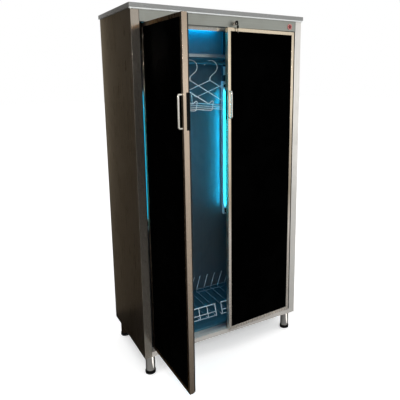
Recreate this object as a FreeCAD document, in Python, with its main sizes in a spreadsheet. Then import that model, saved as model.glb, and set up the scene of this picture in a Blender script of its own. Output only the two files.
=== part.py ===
# Free-standing ultraviolet disinfection cabinet for clothes and shoes, in stainless steel.
# Millimetres, +Z up, front towards -Y, origin on the floor under the middle of the body.
import FreeCAD, Part
import math
import os
import re
import Sketcher
from FreeCAD import Vector

doc = FreeCAD.newDocument("uv_cabinet")
sheet = doc.addObject("Spreadsheet::Sheet", "sizes")

# Driving dimensions, by piece.
driving = {
    # carcass
    "body_width": 984, "body_depth": 522, "body_height": 1768, "leg_height": 112,
    "sheet_thickness": 1.5, "post_width": 40, "fascia_height": 60, "rail_height": 27,
    "rail_flange": 30, "ledge_depth": 58, "ledge_lap": 12, "floor_rise": 11,
    "channel_width": 38, "rear_post_leg": 30, "stop_end_gap": 64, "top_stop_height": 20,
    "gusset_width": 34, "gusset_lap": 6, "gusset_setback": 10,
    "top_thickness": 20, "top_overhang": 8, "top_lip": 22, "seam_gap": 0.5, "overcut": 1,
    # legs and feet
    "leg_inset": 42, "leg_radius": 25, "plate_side": 76,
    "plate_thickness": 3,
    "foot_radius": 28, "foot_height": 18, "foot_gap": 0.3, "stem_radius": 6,
    "stem_length": 45, "stem_clearance": 0.06,
    # doors
    "door_thickness": 23, "frame_width": 17, "hinge_gap": 6, "centre_gap": 3, "door_top_gap": 4,
    "door_bottom_gap": 3, "pivot_inset": 26, "panel_thickness": 4, "panel_lap": 5, "front_lip": 2,
    "panel_play": 0.1, "liner_thickness": 1.5, "gasket_width": 10, "gasket_depth": 7,
    "gasket_inset": 3, "gasket_hinge_inset": 28, "gasket_clearance": 0.5, "left_open_angle": 89,
    "right_open_angle": 3.6, "edge_step": 13,
    # door pivots
    "pin_radius": 4, "pin_reach": 15, "pin_end_gap": 1, "pin_tail_length": 4, "pin_seat": 0.02,
    "pin_clearance": 0.05,
    # handles and their backing blocks
    "handle_length": 145, "handle_bar": 8, "handle_reach": 23, "handle_height": 1428,
    "handle_inset": 9, "backing_length": 154, "backing_margin": 1, "backing_recess": 1,
    # shelf and hanging rail
    "shelf_space": 132, "shelf_lip": 16, "shelf_return": 14, "shelf_front_gap": 91,
    "shelf_back_gap": 32, "shelf_play": 0.5, "bracket_leg": 15, "bracket_length": 300,
    "rail_radius": 9, "rail_wall": 1.5, "hanging_drop": 36, "hanging_offset": 0,
    "flange_radius": 16, "flange_depth": 6,
    # lamps
    "lamp_spread": 280, "lamp_drop": 1118, "lamp_length": 806, "tube_radius": 8,
    "batten_width": 30, "batten_depth": 28,
    "batten_overhang": 40, "holder_length": 26, "holder_width": 24, "holder_front": 12,
    "tube_gap": 8.5, "trunk_length": 35.5, "top_lamp_margin": 87.5, "conduit_width": 14,
    "junction_gap": 37, "junction_height": 55, "junction_width": 26, "junction_depth": 25,
    # works behind the fascia
    "ballast_left": 110, "ballast_length": 270, "ballast_depth": 78, "ballast_height": 48,
    "trunk_width": 36, "trunk_height": 12, "switch_box_width": 28, "switch_box_depth": 20,
    "switch_box_height": 16, "switch_box_offset": 120,
    # cable gland on the back
    "gland_inset": 110.5, "gland_drop": 118.5, "gland_hex": 12, "gland_hex_length": 6,
    "gland_nut": 9, "gland_nut_length": 16, "gland_stem": 8, "gland_stem_length": 9,
    "gland_bore": 4.2,
    # lock with its key
    "lock_offset": 55, "lock_rise": 20, "barrel_radius": 8, "lock_collar_radius": 11,
    "lock_collar": 2, "plug_radius": 5.5, "plug_clearance": 0.05, "plug_proud": 1,
    "cam_length": 34, "cam_width": 12, "cam_thickness": 2.5, "cam_gap": 0.3, "cam_notch_left": 10,
    "cam_notch_right": 44, "cam_notch_rise": 4, "blade_height": 8, "blade_thickness": 2, "blade_length": 10,
    "blade_depth": 12, "bow_height": 22, "bow_length": 26, "bow_thickness": 4, "bow_round": 8,
    # push switch
    "switch_inset": 40, "switch_rise": 23, "bezel_radius": 15, "bezel_depth": 2.5,
    "switch_radius": 11, "switch_depth": 24, "button_radius": 9.5, "button_clearance": 0.3,
    "button_proud": 4, "button_depth": 10, "button_travel": 3,
    # wire hangers
    "hanger_a_place": -285, "hanger_b_place": -187, "hanger_c_place": -74, "hanger_d_place": 53,
    "hanger_e_place": 202, "hanger_turn_angle": 38, "hanger_tilt_angle": 3.5, "hanger_wire": 2.25,
    "hook_radius": 38, "hook_gap": 0.3, "neck_length": 19,
    "collar_radius": 4.2, "notch_reach": 215, "notch_drop": 114.5, "bump_reach": 233,
    "bump_drop": 96, "bump_width": 8, "hanger_reach": 235, "hanger_drop": 149,
    # wire shoe racks
    "rack_wire": 2.5, "rim_wire": 3.2, "rack_middle_gap": 42, "rack_left_gap": 63.5, "rack_right_gap": 11.5,
    "rack_front": 126, "rack_rear": 28, "rack_seat": 0.3, "weld_sink": 1, "rack_bend": 8, "fence_height": 68,
    "fence_lean": 24, "prong_height": 130, "prong_lean": 62, "fence_mid": 30,
    "tie_rise": 10, "tie_gap": 0.6,
}
rack_wires, rack_sides = 9, 6
hook_sweep, hook_chords, hanger_sides = 210, 12, 8
hanger_names = ("hanger_a", "hanger_b", "hanger_c", "hanger_d", "hanger_e")

# Places that follow from the driving dimensions.
derived = {
    "backing_width": "frame_width - panel_lap - backing_margin",
    "half_width": "body_width / 2", "front_y": "-body_depth / 2", "back_y": "body_depth / 2",
    "inner_x": "half_width - sheet_thickness", "inner_back": "back_y - sheet_thickness",
    "body_top": "leg_height + body_height", "roof_z": "body_top - sheet_thickness",
    "fascia_z": "body_top - fascia_height", "rail_z": "leg_height + rail_height",
    "floor_z": "rail_z + floor_rise", "floor_front": "front_y + ledge_depth",
    "opening_x": "half_width - post_width",
    "stop_y": "front_y + door_thickness + gasket_depth + gasket_clearance",
    "stop_back": "stop_y + sheet_thickness", "gusset_y": "stop_back + gusset_setback",
    "channel_front": "stop_back + seam_gap",
    "channel_x": "inner_x - channel_width",
    "door_top": "fascia_z - door_top_gap", "door_bottom": "rail_z + door_bottom_gap",
    "door_width": "opening_x - hinge_gap - centre_gap / 2",
    "pivot_x": "opening_x - hinge_gap - pivot_inset", "pivot_y": "front_y + door_thickness / 2",
    "leg_x": "half_width - leg_inset", "leg_y": "back_y - leg_inset",
    "leg_top": "leg_height - plate_thickness", "foot_top": "foot_height + foot_gap",
    "shelf_front": "front_y + shelf_front_gap", "shelf_back": "inner_back - shelf_back_gap",
    "shelf_top": "fascia_z - shelf_space",
    "shelf_under": "shelf_top - shelf_lip", "hanging_height": "shelf_top - hanging_drop",
    "batten_y": "inner_back - batten_depth", "tube_y": "batten_y - tube_gap - tube_radius",
    "batten_z": "roof_z - batten_depth", "tube_z": "batten_z - tube_gap - tube_radius",
    "gland_x": "inner_x - gland_inset", "gland_height": "roof_z - gland_drop",
    "top_lamp_y": "stop_back + ballast_depth + trunk_length + batten_width / 2",
    "holder_y": "tube_y - holder_front", "holder_z": "tube_z - holder_front",
    "lamp_bottom": "fascia_z - lamp_drop", "lamp_top": "lamp_bottom + lamp_length",
    "junction_low": "lamp_top + batten_overhang + junction_gap",
    "junction_high": "junction_low + junction_height",
    "top_lamp_end": "inner_x - top_lamp_margin",
    "lock_z": "fascia_z + lock_rise", "barrel_end": "stop_y - cam_gap",
    "cam_y": "stop_y + cam_gap", "cam_back": "cam_y + cam_thickness",
    "plug_front": "front_y - lock_collar - plug_proud",
    "switch_z": "fascia_z + switch_rise", "switch_x": "opening_x - switch_inset",
    "racks_width": "2 * inner_x - rack_left_gap - rack_right_gap - rack_middle_gap",
    "rack_pitch": f"racks_width / {2 * (rack_wires - 1)}",
}

aliases = {}
for row, (name, value) in enumerate(list(driving.items()) + list(derived.items()), 1):
    sheet.set(f"A{row}", name)
    sheet.set(f"B{row}", f"={value}" if name in derived else str(value))
    sheet.setAlias(f"B{row}", name)
    aliases[name] = f"B{row}"
doc.recompute()

nodes = []
through = "sheet_thickness + 2 * overcut"


def size(name):
    """The present value of a named size."""
    return float(sheet.get(name))


def bound(formula):
    """A formula in named sizes, as an expression that reads the sheet."""
    return re.sub(r"[a-z_]+", lambda m: f"sizes.{m[0]}" if m[0] in aliases else m[0], str(formula))


def bind(piece, **formulas):
    for key, formula in formulas.items():
        piece.setExpression(key, bound(formula))
    return piece


def set_place(piece, x, y, z, turn="vector(0; 0; 1); 0"):
    where = f"vector({bound(x)}; {bound(y)}; {bound(z)})"
    piece.setExpression("Placement", f"placement({where}; rotation({bound(turn)}))")
    return piece


def keep(piece, label):
    """Make a finished piece a node of the assembly."""
    piece.Label = label
    nodes.append(piece)
    return piece


def box(x, y, z):
    """A block between pairs of formulas."""
    piece = doc.addObject("Part::Box", "block")
    bind(piece, Length=f"{x[1]} - ({x[0]})", Width=f"{y[1]} - ({y[0]})", Height=f"{z[1]} - ({z[0]})")
    return set_place(piece, x[0], y[0], z[0])


axis_turns = {"x": "vector(0; 1; 0); 90", "y": "vector(1; 0; 0); -90", "z": "vector(0; 0; 1); 0"}


def cylinder(x, y, z, radius, length, axis="z"):
    piece = doc.addObject("Part::Cylinder", "round")
    bind(piece, Radius=radius, Height=length)
    return set_place(piece, x, y, z, axis_turns[axis])


def prism(x, y, z, radius, length, axis="z", sides=6):
    piece = doc.addObject("Part::Prism", "prism")
    piece.Polygon = sides
    bind(piece, Circumradius=radius, Height=length)
    return set_place(piece, x, y, z, axis_turns[axis])


def cut(base, tool):
    piece = doc.addObject("Part::Cut", "cut")
    piece.Base = base
    piece.Tool = tool
    return piece


def fuse(*pieces):
    piece = doc.addObject("Part::MultiFuse", "fuse")
    piece.Shapes = list(pieces)
    return piece


def group(label, pieces):
    piece = doc.addObject("Part::Compound", "group")
    piece.Links = list(pieces)
    return keep(piece, label)


def padded(points, plane, length):
    """A body padded from a closed outline whose corners are formulas."""
    body = doc.addObject("PartDesign::Body", "body")
    sketch = body.newObject("Sketcher::SketchObject", "outline")
    origin = [f for f in body.Origin.OriginFeatures if f.Role == plane][0]
    sketch.AttachmentSupport = (origin, [""])
    sketch.MapMode = "FlatFace"
    count = len(points)
    ring = [Vector(10 * math.cos(2 * math.pi * i / count), 10 * math.sin(2 * math.pi * i / count))
            for i in range(count)]
    for i in range(count):
        sketch.addGeometry(Part.LineSegment(ring[i], ring[(i + 1) % count]), False)
    for i in range(count):
        sketch.addConstraint(Sketcher.Constraint("Coincident", i, 2, (i + 1) % count, 1))
    for i, corner in enumerate(points):
        for kind, formula, start in zip(("DistanceX", "DistanceY"), corner, ring[i]):
            datum = sketch.addConstraint(Sketcher.Constraint(kind, -1, 1, i, 1, start))
            sketch.setExpression(f"Constraints[{datum}]", bound(formula))
    pad = body.newObject("PartDesign::Pad", "pad")
    pad.Profile = sketch
    pad.setExpression("Length", bound(length))
    return body


headings = {"+u": (1, 0), "-u": (-1, 0), "+v": (0, 1), "-v": (0, -1)}


def fold(start, moves, side):
    """The outline of a folded sheet: its outer skin, and the inner skin one thickness to a side."""
    skin = [start]
    steps = [headings[heading] for heading, _ in moves]
    for (du, dv), (_, run) in zip(steps, moves):
        u, v = skin[-1]
        skin.append((f"{u} + {du} * ({run})", f"{v} + {dv} * ({run})"))
    normals = [(-side * dv, side * du) for du, dv in steps]
    inner = []
    for i, (u, v) in enumerate(skin):
        beside = normals[max(i - 1, 0):i + 1]
        nu, nv = (sum(n[k] for n in beside) for k in (0, 1))
        inner.append((f"{u} + {nu} * sheet_thickness", f"{v} + {nv} * sheet_thickness"))
    return skin + inner[::-1]


def carcass():
    """Folded sheets, posts and channels that make the open box."""
    height = "roof_z - leg_height"
    for side, turn, name in ((-1, 1, "left"), (1, -1, "right")):
        ahead = "+u" if side < 0 else "-u"
        outline = fold((f"{side} * half_width", "front_y"),
                       [(ahead, "post_width"), ("+v", "stop_back - front_y")], turn)
        post = padded(outline, "XY_Plane", height)
        keep(set_place(post, "0", "0", "leg_height"), f"{name}_front_post")
        skin = ("-half_width", "-inner_x") if side < 0 else ("inner_x", "half_width")
        keep(box(skin, ("front_y + sheet_thickness", "back_y"), ("leg_height", "roof_z")),
             f"{name}_side_panel")
    back = box(("-inner_x", "inner_x"), ("inner_back", "back_y"), ("leg_height", "roof_z"))
    hole = cylinder("gland_x", "inner_back - overcut", "gland_height", "gland_stem", through, "y")
    keep(cut(back, hole), "back_panel")
    keep(box(("-half_width", "half_width"), ("front_y", "back_y"), ("roof_z", "body_top")),
         "roof_panel")

    angles = []
    for side in (-1, 1):
        outline = fold((f"{side} * inner_x", "inner_back - rear_post_leg"),
                       [("+v", "rear_post_leg"), ("-u" if side > 0 else "+u", "rear_post_leg")], side)
        angle = padded(outline, "XY_Plane", "roof_z - floor_z")
        angles.append(set_place(angle, "0", "0", "floor_z"))
    group("rear_posts", angles)

    under = "floor_z - sheet_thickness"
    spans = [(("-inner_x", "-channel_x"), ("channel_front", "inner_back")),
             (("channel_x", "inner_x"), ("channel_front", "inner_back")),
             (("-channel_x", "channel_x"), ("inner_back - channel_width", "inner_back"))]
    tubes = []
    for i, (x, y) in enumerate(spans):
        wall = [f"{{}} {sign} sheet_thickness" for sign in "+-"]
        along_x = i == 2
        hollow_x = x if along_x else tuple(w.format(v) for w, v in zip(wall, x))
        hollow_y = tuple(w.format(v) for w, v in zip(wall, y)) if along_x else y
        hollow_z = ("leg_height + sheet_thickness", f"{under} - sheet_thickness")
        tubes.append(cut(box(x, y, ("leg_height", under)), box(hollow_x, hollow_y, hollow_z)))
    group("base_channels", tubes)

    lip = box(("-opening_x", "opening_x"), ("floor_front", "floor_front + sheet_thickness"),
              ("rail_z", "floor_z"))
    tray = box(("-inner_x", "inner_x"), ("floor_front", "inner_back"), (under, "floor_z"))
    keep(fuse(tray, lip), "floor_panel")


def front_members():
    """Bottom rail, fascia with its holes, the strip that the doors close against, and upper gussets."""
    rail = fold(("front_y + rail_flange", "leg_height"),
                [("-u", "rail_flange"), ("+v", "rail_height"), ("+u", "ledge_depth + ledge_lap")], -1)
    rail = set_place(padded(rail, "YZ_Plane", "2 * opening_x"), "-opening_x", "0", "0")
    keep(cut(rail, pivot_holes("rail_z - sheet_thickness - overcut")), "bottom_front_rail")

    fascia = fold(("front_y", "roof_z"), [("-v", "roof_z - fascia_z"), ("+u", "stop_back - front_y")], 1)
    fascia = set_place(padded(fascia, "YZ_Plane", "2 * opening_x"), "-opening_x", "0", "0")
    holes = [prism("lock_offset", "front_y - overcut", "lock_z", "barrel_radius", through, "y", 8),
             prism("switch_x", "front_y - overcut", "switch_z", "switch_radius", through, "y", 8),
             pivot_holes("fascia_z - overcut"), cam_notch()]
    keep(cut(fascia, fuse(*holes)), "fascia_panel")

    strip = box(("stop_end_gap - opening_x", "opening_x - stop_end_gap"), ("stop_y", "stop_back"),
                ("fascia_z - top_stop_height", "fascia_z"))
    keep(cut(strip, cam_notch()), "door_stops")
    gussets = []
    for side, near, far in ((-1, 0, 1), (1, 1, 0)):
        leg, plate = [box((f"{side} * opening_x - {near} * {width}", f"{side} * opening_x + {far} * {width}"),
                          (start, "gusset_y + sheet_thickness"), ("shelf_top", "fascia_z"))
                      for width, start in (("sheet_thickness", "stop_back - gusset_lap"),
                                           ("gusset_width", "gusset_y"))]
        gussets.append(fuse(leg, plate))
    group("corner_gussets", gussets)


def pivot_holes(start):
    """The two pin holes through a folded flange, from a height upwards."""
    return fuse(*[cylinder(f"{side} * pivot_x", "pivot_y", start, "pin_radius + pin_seat",
                           through) for side in (-1, 1)])


def cam_notch():
    """The space in which the lock's cam turns down behind the door."""
    return box(("lock_offset - cam_notch_left", "lock_offset + cam_notch_right"),
               ("stop_y - overcut", "stop_back + overcut"),
               ("fascia_z - top_stop_height - overcut", "fascia_z + cam_notch_rise"))


def top_cover():
    """The top, a sheet folded down all round with a lip turned in under it."""
    x = ("-half_width - top_overhang", "half_width + top_overhang")
    y = ("front_y - top_overhang", "back_y")
    whole = box(x, y, ("body_top", "body_top + top_thickness"))
    inside = [tuple(f"{v} {s} sheet_thickness" for v, s in zip(pair, "+-")) for pair in (x, y)]
    hollow = box(*inside, ("body_top + sheet_thickness", "body_top + top_thickness - sheet_thickness"))
    mouth = [tuple(f"{v} {s} top_lip" for v, s in zip(pair, "+-")) for pair in (x, y)]
    opening = box(*mouth, ("body_top - overcut", "body_top + 2 * sheet_thickness"))
    keep(cut(whole, fuse(hollow, opening)), "top_plate")


def legs():
    """Four round legs welded to plates, and feet that screw out to level the cabinet."""
    tubes = []
    for y_side, row in ((-1, "front"), (1, "rear")):
        for x_side, hand in ((-1, "left"), (1, "right")):
            x, y = f"{x_side} * leg_x", f"{y_side} * leg_y"
            half = "plate_side / 2"
            plate = box((f"{x} - {half}", f"{x} + {half}"), (f"{y} - {half}", f"{y} + {half}"),
                        ("leg_top", "leg_height"))
            column = cylinder(x, y, "foot_top", "leg_radius", "leg_top - foot_top")
            socket = prism(x, y, "foot_top - overcut", "stem_radius + stem_clearance",
                           "stem_length + 2 * overcut", sides=8)
            tubes.append(cut(fuse(plate, column), socket))
            pad = cylinder(x, y, "0", "foot_radius", "foot_height")
            stem = prism(x, y, "foot_height - overcut", "stem_radius", "stem_length", sides=8)
            keep(fuse(pad, stem), f"foot_{row}_{hand}")
    group("leg_tubes", tubes)


def mitred_frame(u, z, y, width):
    """Four bars with mitred ends round an upright rectangle: bottom, top, left and right."""
    across, up = f"{u[1]} - ({u[0]})", f"{z[1]} - ({z[0]})"
    bars = []
    for x0, z0, length, spin in ((u[0], z[0], across, 0), (u[1], z[1], across, 180),
                                 (u[0], z[1], up, 90), (u[1], z[0], up, -90)):
        bar = doc.addObject("Part::Wedge", "bar")
        bind(bar, Xmin="0", Xmax=length, X2min=width, X2max=f"{length} - ({width})",
             Ymin="0", Ymax=width, Zmin="0", Z2min="0",
             Zmax=f"{y[1]} - ({y[0]})", Z2max=f"{y[1]} - ({y[0]})")
        where = f"vector({bound(x0)}; {bound(y[1])}; {bound(z0)})"
        turn = f"rotation(vector(0; 1; 0); {spin}) * rotation(vector(1; 0; 0); 90)"
        bar.setExpression("Placement", f"placement({where}; {turn})")
        bars.append(bar)
    return bars


def door(name, hand):
    """One door in its own frame, pivot axis at the origin, then hung at its rest angle."""
    def across(near, far):
        return (near, far) if hand < 0 else (f"-({far})", f"-({near})")

    def hang(piece, label):
        turn = f"vector(0; 0; 1); {hand} * {name}_open_angle"
        return keep(set_place(piece, f"{hand} * pivot_x", "pivot_y", "0", turn), f"{name}_{label}")

    hinge_edge, free_edge = "-pivot_inset", "door_width - pivot_inset"
    face, back = "-door_thickness / 2", "door_thickness / 2"
    lap = "frame_width - panel_lap"
    groove_y = (f"{face} + front_lip", f"{face} + front_lip + panel_thickness + 2 * panel_play")
    liner_y = (f"{back} - liner_thickness", back)
    heights = ("door_bottom", "door_top")

    def inset(by):
        return (across(f"{hinge_edge} + {by}", f"{free_edge} - ({by})"),
                (f"{heights[0]} + {by}", f"{heights[1]} - ({by})"))

    backing_z = ("handle_height - backing_length / 2", "handle_height + backing_length / 2")
    backing_y = (f"{face} + edge_step", f"{back} + gasket_depth")

    def notch():
        return box(across(f"{free_edge} - backing_width", f"{free_edge} + overcut"), backing_y, backing_z)

    def bores():
        depth = "pin_reach + pin_end_gap"
        return [cylinder("0", "0", start, "pin_radius + pin_clearance", f"{depth} + overcut")
                for start in (f"door_top - ({depth})", "door_bottom - overcut")]

    u, z = inset("0")
    groove_u, groove_z = inset(lap)
    bars = mitred_frame(u, z, (face, back), "frame_width")
    tools = [box(groove_u, groove_y, groove_z), box(groove_u, (liner_y[0], f"{back} + overcut"), groove_z),
             *bores(), notch()]
    hang(group_of([cut(bar, fuse(*tools)) for bar in bars]), "door_frame")

    panel_u, panel_z = inset(f"{lap} + panel_play")
    panel_y = (f"{groove_y[0]} + panel_play", f"{groove_y[1]} - panel_play")
    hang(group_of([box(panel_u, panel_y, panel_z)]), "door_panel")
    hang(group_of([box(panel_u, liner_y, panel_z)]), "door_liner")

    seal_u = across(f"{hinge_edge} + gasket_hinge_inset", f"{free_edge} - gasket_inset")
    seal_z = (f"{heights[0]} + gasket_inset", f"{heights[1]} - gasket_inset")
    seal = mitred_frame(seal_u, seal_z, (back, f"{back} + gasket_depth"), "gasket_width")
    free_bar = 3 if hand < 0 else 2
    seal[free_bar] = cut(seal[free_bar], notch())
    hang(group_of(seal), "door_gasket")

    block = box(across(f"{free_edge} - backing_width", f"{free_edge} - backing_recess"),
                backing_y, backing_z)
    hang(group_of([block]), "handle_backing")

    low, high = "handle_height - handle_length / 2", "handle_height + handle_length / 2"
    out, bar = f"{face} - handle_reach", "handle_bar"
    outline = [(face, low), (out, low), (out, high), (face, high), (face, f"{high} - {bar}"),
               (f"{out} + {bar}", f"{high} - {bar}"), (f"{out} + {bar}", f"{low} + {bar}"),
               (face, f"{low} + {bar}")]
    grip = padded(outline, "YZ_Plane", bar)
    start = across(f"{free_edge} - handle_inset - {bar} / 2", f"{free_edge} - handle_inset + {bar} / 2")[0]
    set_place(grip, start, "0", "0")
    hang(group_of([grip]), "handle")


def group_of(pieces):
    piece = doc.addObject("Part::Compound", "set")
    piece.Links = list(pieces)
    return piece


def hinge_pins():
    """Pins through the fascia and the bottom rail, on which the doors turn."""
    pins = []
    for side in (-1, 1):
        for start, end in (("door_top - pin_reach", "fascia_z + sheet_thickness + pin_tail_length"),
                           ("rail_z - sheet_thickness - pin_tail_length", "door_bottom + pin_reach")):
            pins.append(cylinder(f"{side} * pivot_x", "pivot_y", start, "pin_radius", f"{end} - ({start})"))
    group("hinge_pins", pins)


def shelf_and_rail():
    """Hat shelf on two wall angles, and the hanging rail between its wall flanges."""
    outline = fold(("shelf_back", "shelf_top"),
                   [("-u", "shelf_back - shelf_front"), ("-v", "shelf_lip"), ("+u", "shelf_return")], 1)
    shelf = padded(outline, "YZ_Plane", "2 * (inner_x - shelf_play)")
    keep(set_place(shelf, "shelf_play - inner_x", "0", "0"), "hat_shelf")

    start = "shelf_front + shelf_return + bracket_leg"
    angles = []
    for side in (-1, 1):
        outline = fold((f"{side} * inner_x", "shelf_top - sheet_thickness - bracket_leg"),
                       [("+v", "bracket_leg"), ("+u" if side < 0 else "-u", "bracket_leg")], side)
        angle = padded(outline, "XZ_Plane", "bracket_length")
        angles.append(set_place(angle, "0", f"{start} + bracket_length", "0"))
    group("shelf_brackets", angles)

    y, z = "hanging_offset", "hanging_height"
    length = "2 * (inner_x - flange_depth)"
    tube = cut(cylinder("flange_depth - inner_x", y, z, "rail_radius", length, "x"),
               cylinder("flange_depth - inner_x", y, z, "rail_radius - rail_wall", length, "x"))
    keep(tube, "hanging_rail")
    flanges = [cylinder(start, y, z, "flange_radius", "flange_depth", "x")
            for start in ("-inner_x", "inner_x - flange_depth")]
    group("rail_flanges", flanges)


def lamps():
    """Two upright lamps on the back and one along the ceiling, each a batten, two holders and a tube."""
    battens, holders, ducts = [], [], []
    half, wide = "batten_width / 2", "holder_width / 2"
    for side, name in ((-1, "left"), (1, "right")):
        x = f"{side} * lamp_spread"
        span = (f"{x} - {half}", f"{x} + {half}")
        battens.append(box(span, ("batten_y", "inner_back"),
                           ("lamp_bottom - batten_overhang", "lamp_top + batten_overhang")))
        for z in ("lamp_bottom - holder_length", "lamp_top"):
            holders.append(box((f"{x} - {wide}", f"{x} + {wide}"), ("holder_y", "batten_y"),
                               (z, f"{z} + holder_length")))
        keep(cylinder(x, "tube_y", "lamp_bottom", "tube_radius", "lamp_length"), f"{name}_lamp_tube")
        ducts += [box((f"{x} - conduit_width / 2", f"{x} + conduit_width / 2"),
                      ("inner_back - conduit_width", "inner_back"), heights)
                  for heights in (("lamp_top + batten_overhang", "junction_low"),
                                  ("junction_high", "roof_z"))]
        ducts.append(box((f"{x} - junction_width / 2", f"{x} + junction_width / 2"),
                         ("inner_back - junction_depth", "inner_back"), ("junction_low", "junction_high")))
    end = "top_lamp_end"
    y_span = (f"top_lamp_y - {half}", f"top_lamp_y + {half}")
    battens.append(box((f"-{end} - batten_overhang", f"{end} + batten_overhang"), y_span,
                       ("batten_z", "roof_z")))
    for x in (f"-{end} - holder_length", end):
        holders.append(box((x, f"{x} + holder_length"), (f"top_lamp_y - {wide}", f"top_lamp_y + {wide}"),
                           ("holder_z", "batten_z")))
    keep(cylinder(f"-{end}", "top_lamp_y", "tube_z", "tube_radius", f"2 * {end}", "x"), "top_lamp_tube")
    middle = "ballast_left + ballast_length / 2"
    ducts.append(box((f"{middle} - trunk_width / 2", f"{middle} + trunk_width / 2"),
                     ("stop_back + ballast_depth", f"top_lamp_y - {half}"),
                     ("roof_z - trunk_height", "roof_z")))
    for side in (-1, 1):
        ducts.append(box(tuple(f"{side} * lamp_spread {s} conduit_width / 2" for s in "-+"),
                         (f"top_lamp_y + {half}", "inner_back - conduit_width"),
                         ("roof_z - conduit_width", "roof_z")))
    group("lamp_battens", battens)
    group("lamp_holders", holders)
    group("wiring_ducts", ducts)


def works():
    """Ballast box, door switches and the cable gland."""
    keep(box(("ballast_left", "ballast_left + ballast_length"), ("stop_back", "stop_back + ballast_depth"),
             ("roof_z - ballast_height", "roof_z")), "ballast_box")
    low = "fascia_z - switch_box_height"
    group("door_switches", [box((f"{x} - switch_box_width / 2", f"{x} + switch_box_width / 2"),
                                ("stop_back", "stop_back + switch_box_depth"), (low, "fascia_z"))
                            for x in ("-switch_box_offset", "switch_box_offset")])
    x, z = "gland_x", "gland_height"
    gland = fuse(prism(x, "back_y - gland_stem_length", z, "gland_stem", "gland_stem_length", "y", 8),
                 prism(x, "back_y", z, "gland_hex", "gland_hex_length", "y"),
                 prism(x, "back_y + gland_hex_length", z, "gland_nut", "gland_nut_length", "y", 12))
    bore = cylinder(x, "back_y - gland_stem_length - overcut", z, "gland_bore",
                    "gland_stem_length + gland_hex_length + gland_nut_length + 2 * overcut", "y")
    keep(cut(gland, bore), "cable_gland")


def lock_and_switch():
    """Cam lock with its key in the plug, and the round push switch."""
    x, z = "lock_offset", "lock_z"
    barrel = fuse(cylinder(x, "front_y - lock_collar", z, "lock_collar_radius", "lock_collar", "y"),
                  prism(x, "front_y", z, "barrel_radius", "barrel_end - front_y", "y", 8))
    bore = cylinder(x, "front_y - lock_collar - overcut", z, "plug_radius + plug_clearance",
                    "barrel_end - front_y + lock_collar + 2 * overcut", "y")
    keep(cut(barrel, bore), "lock_barrel")

    keyway = box((f"{x} - blade_thickness / 2", f"{x} + blade_thickness / 2"),
                 ("plug_front - overcut", "plug_front + blade_depth"),
                 (f"{z} - blade_height / 2", f"{z} + blade_height / 2"))
    plug = cut(cylinder(x, "plug_front", z, "plug_radius", "cam_y - plug_front", "y"), keyway)
    cam = box((f"{x} - cam_width / 2", f"{x} + cam_length"), ("cam_y", "cam_back"),
              (f"{z} - cam_width / 2", f"{z} + cam_width / 2"))
    group("lock_plug", [plug, cam])
    keep(box((f"{x} - blade_thickness / 2", f"{x} + blade_thickness / 2"),
             ("plug_front - blade_length", "plug_front + blade_depth"),
             (f"{z} - blade_height / 2", f"{z} + blade_height / 2")), "key_blade")
    front, behind = "plug_front - blade_length - bow_length", "plug_front - blade_length"
    top, low = f"{z} + bow_height / 2", f"{z} - bow_height / 2"
    outline = [(behind, f"{low} + bow_round"), (behind, f"{top} - bow_round"),
               (f"{behind} - bow_round", top), (f"{front} + bow_round", top),
               (front, f"{top} - bow_round"), (front, f"{low} + bow_round"),
               (f"{front} + bow_round", low), (f"{behind} - bow_round", low)]
    bow = padded(outline, "YZ_Plane", "bow_thickness")
    keep(set_place(bow, f"{x} - bow_thickness / 2", "0", "0"), "key_bow")

    x, z = "switch_x", "switch_z"
    housing = fuse(cylinder(x, "front_y - bezel_depth", z, "bezel_radius", "bezel_depth", "y"),
                   prism(x, "front_y", z, "switch_radius", "switch_depth", "y", 8))
    well = cylinder(x, "front_y - bezel_depth - overcut", z, "button_radius + button_clearance",
                    "bezel_depth + overcut + button_depth + button_clearance + button_travel", "y")
    keep(cut(housing, well), "switch_housing")
    front = "front_y - bezel_depth - button_proud"
    keep(cylinder(x, front, z, "button_radius", "button_proud + bezel_depth + button_depth", "y"),
         "switch_button")


def wire(points, radius, sides):
    """A wire along straight runs, mitred at its bends, with a many-sided section."""
    circle = Part.makeCircle(radius, points[0], points[1] - points[0])
    ring = [circle.valueAt(2 * math.pi * i / sides) for i in range(sides)]
    return Part.makePolygon(points).makePipeShell([Part.makePolygon(ring + ring[:1])], True, False, 1)


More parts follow.
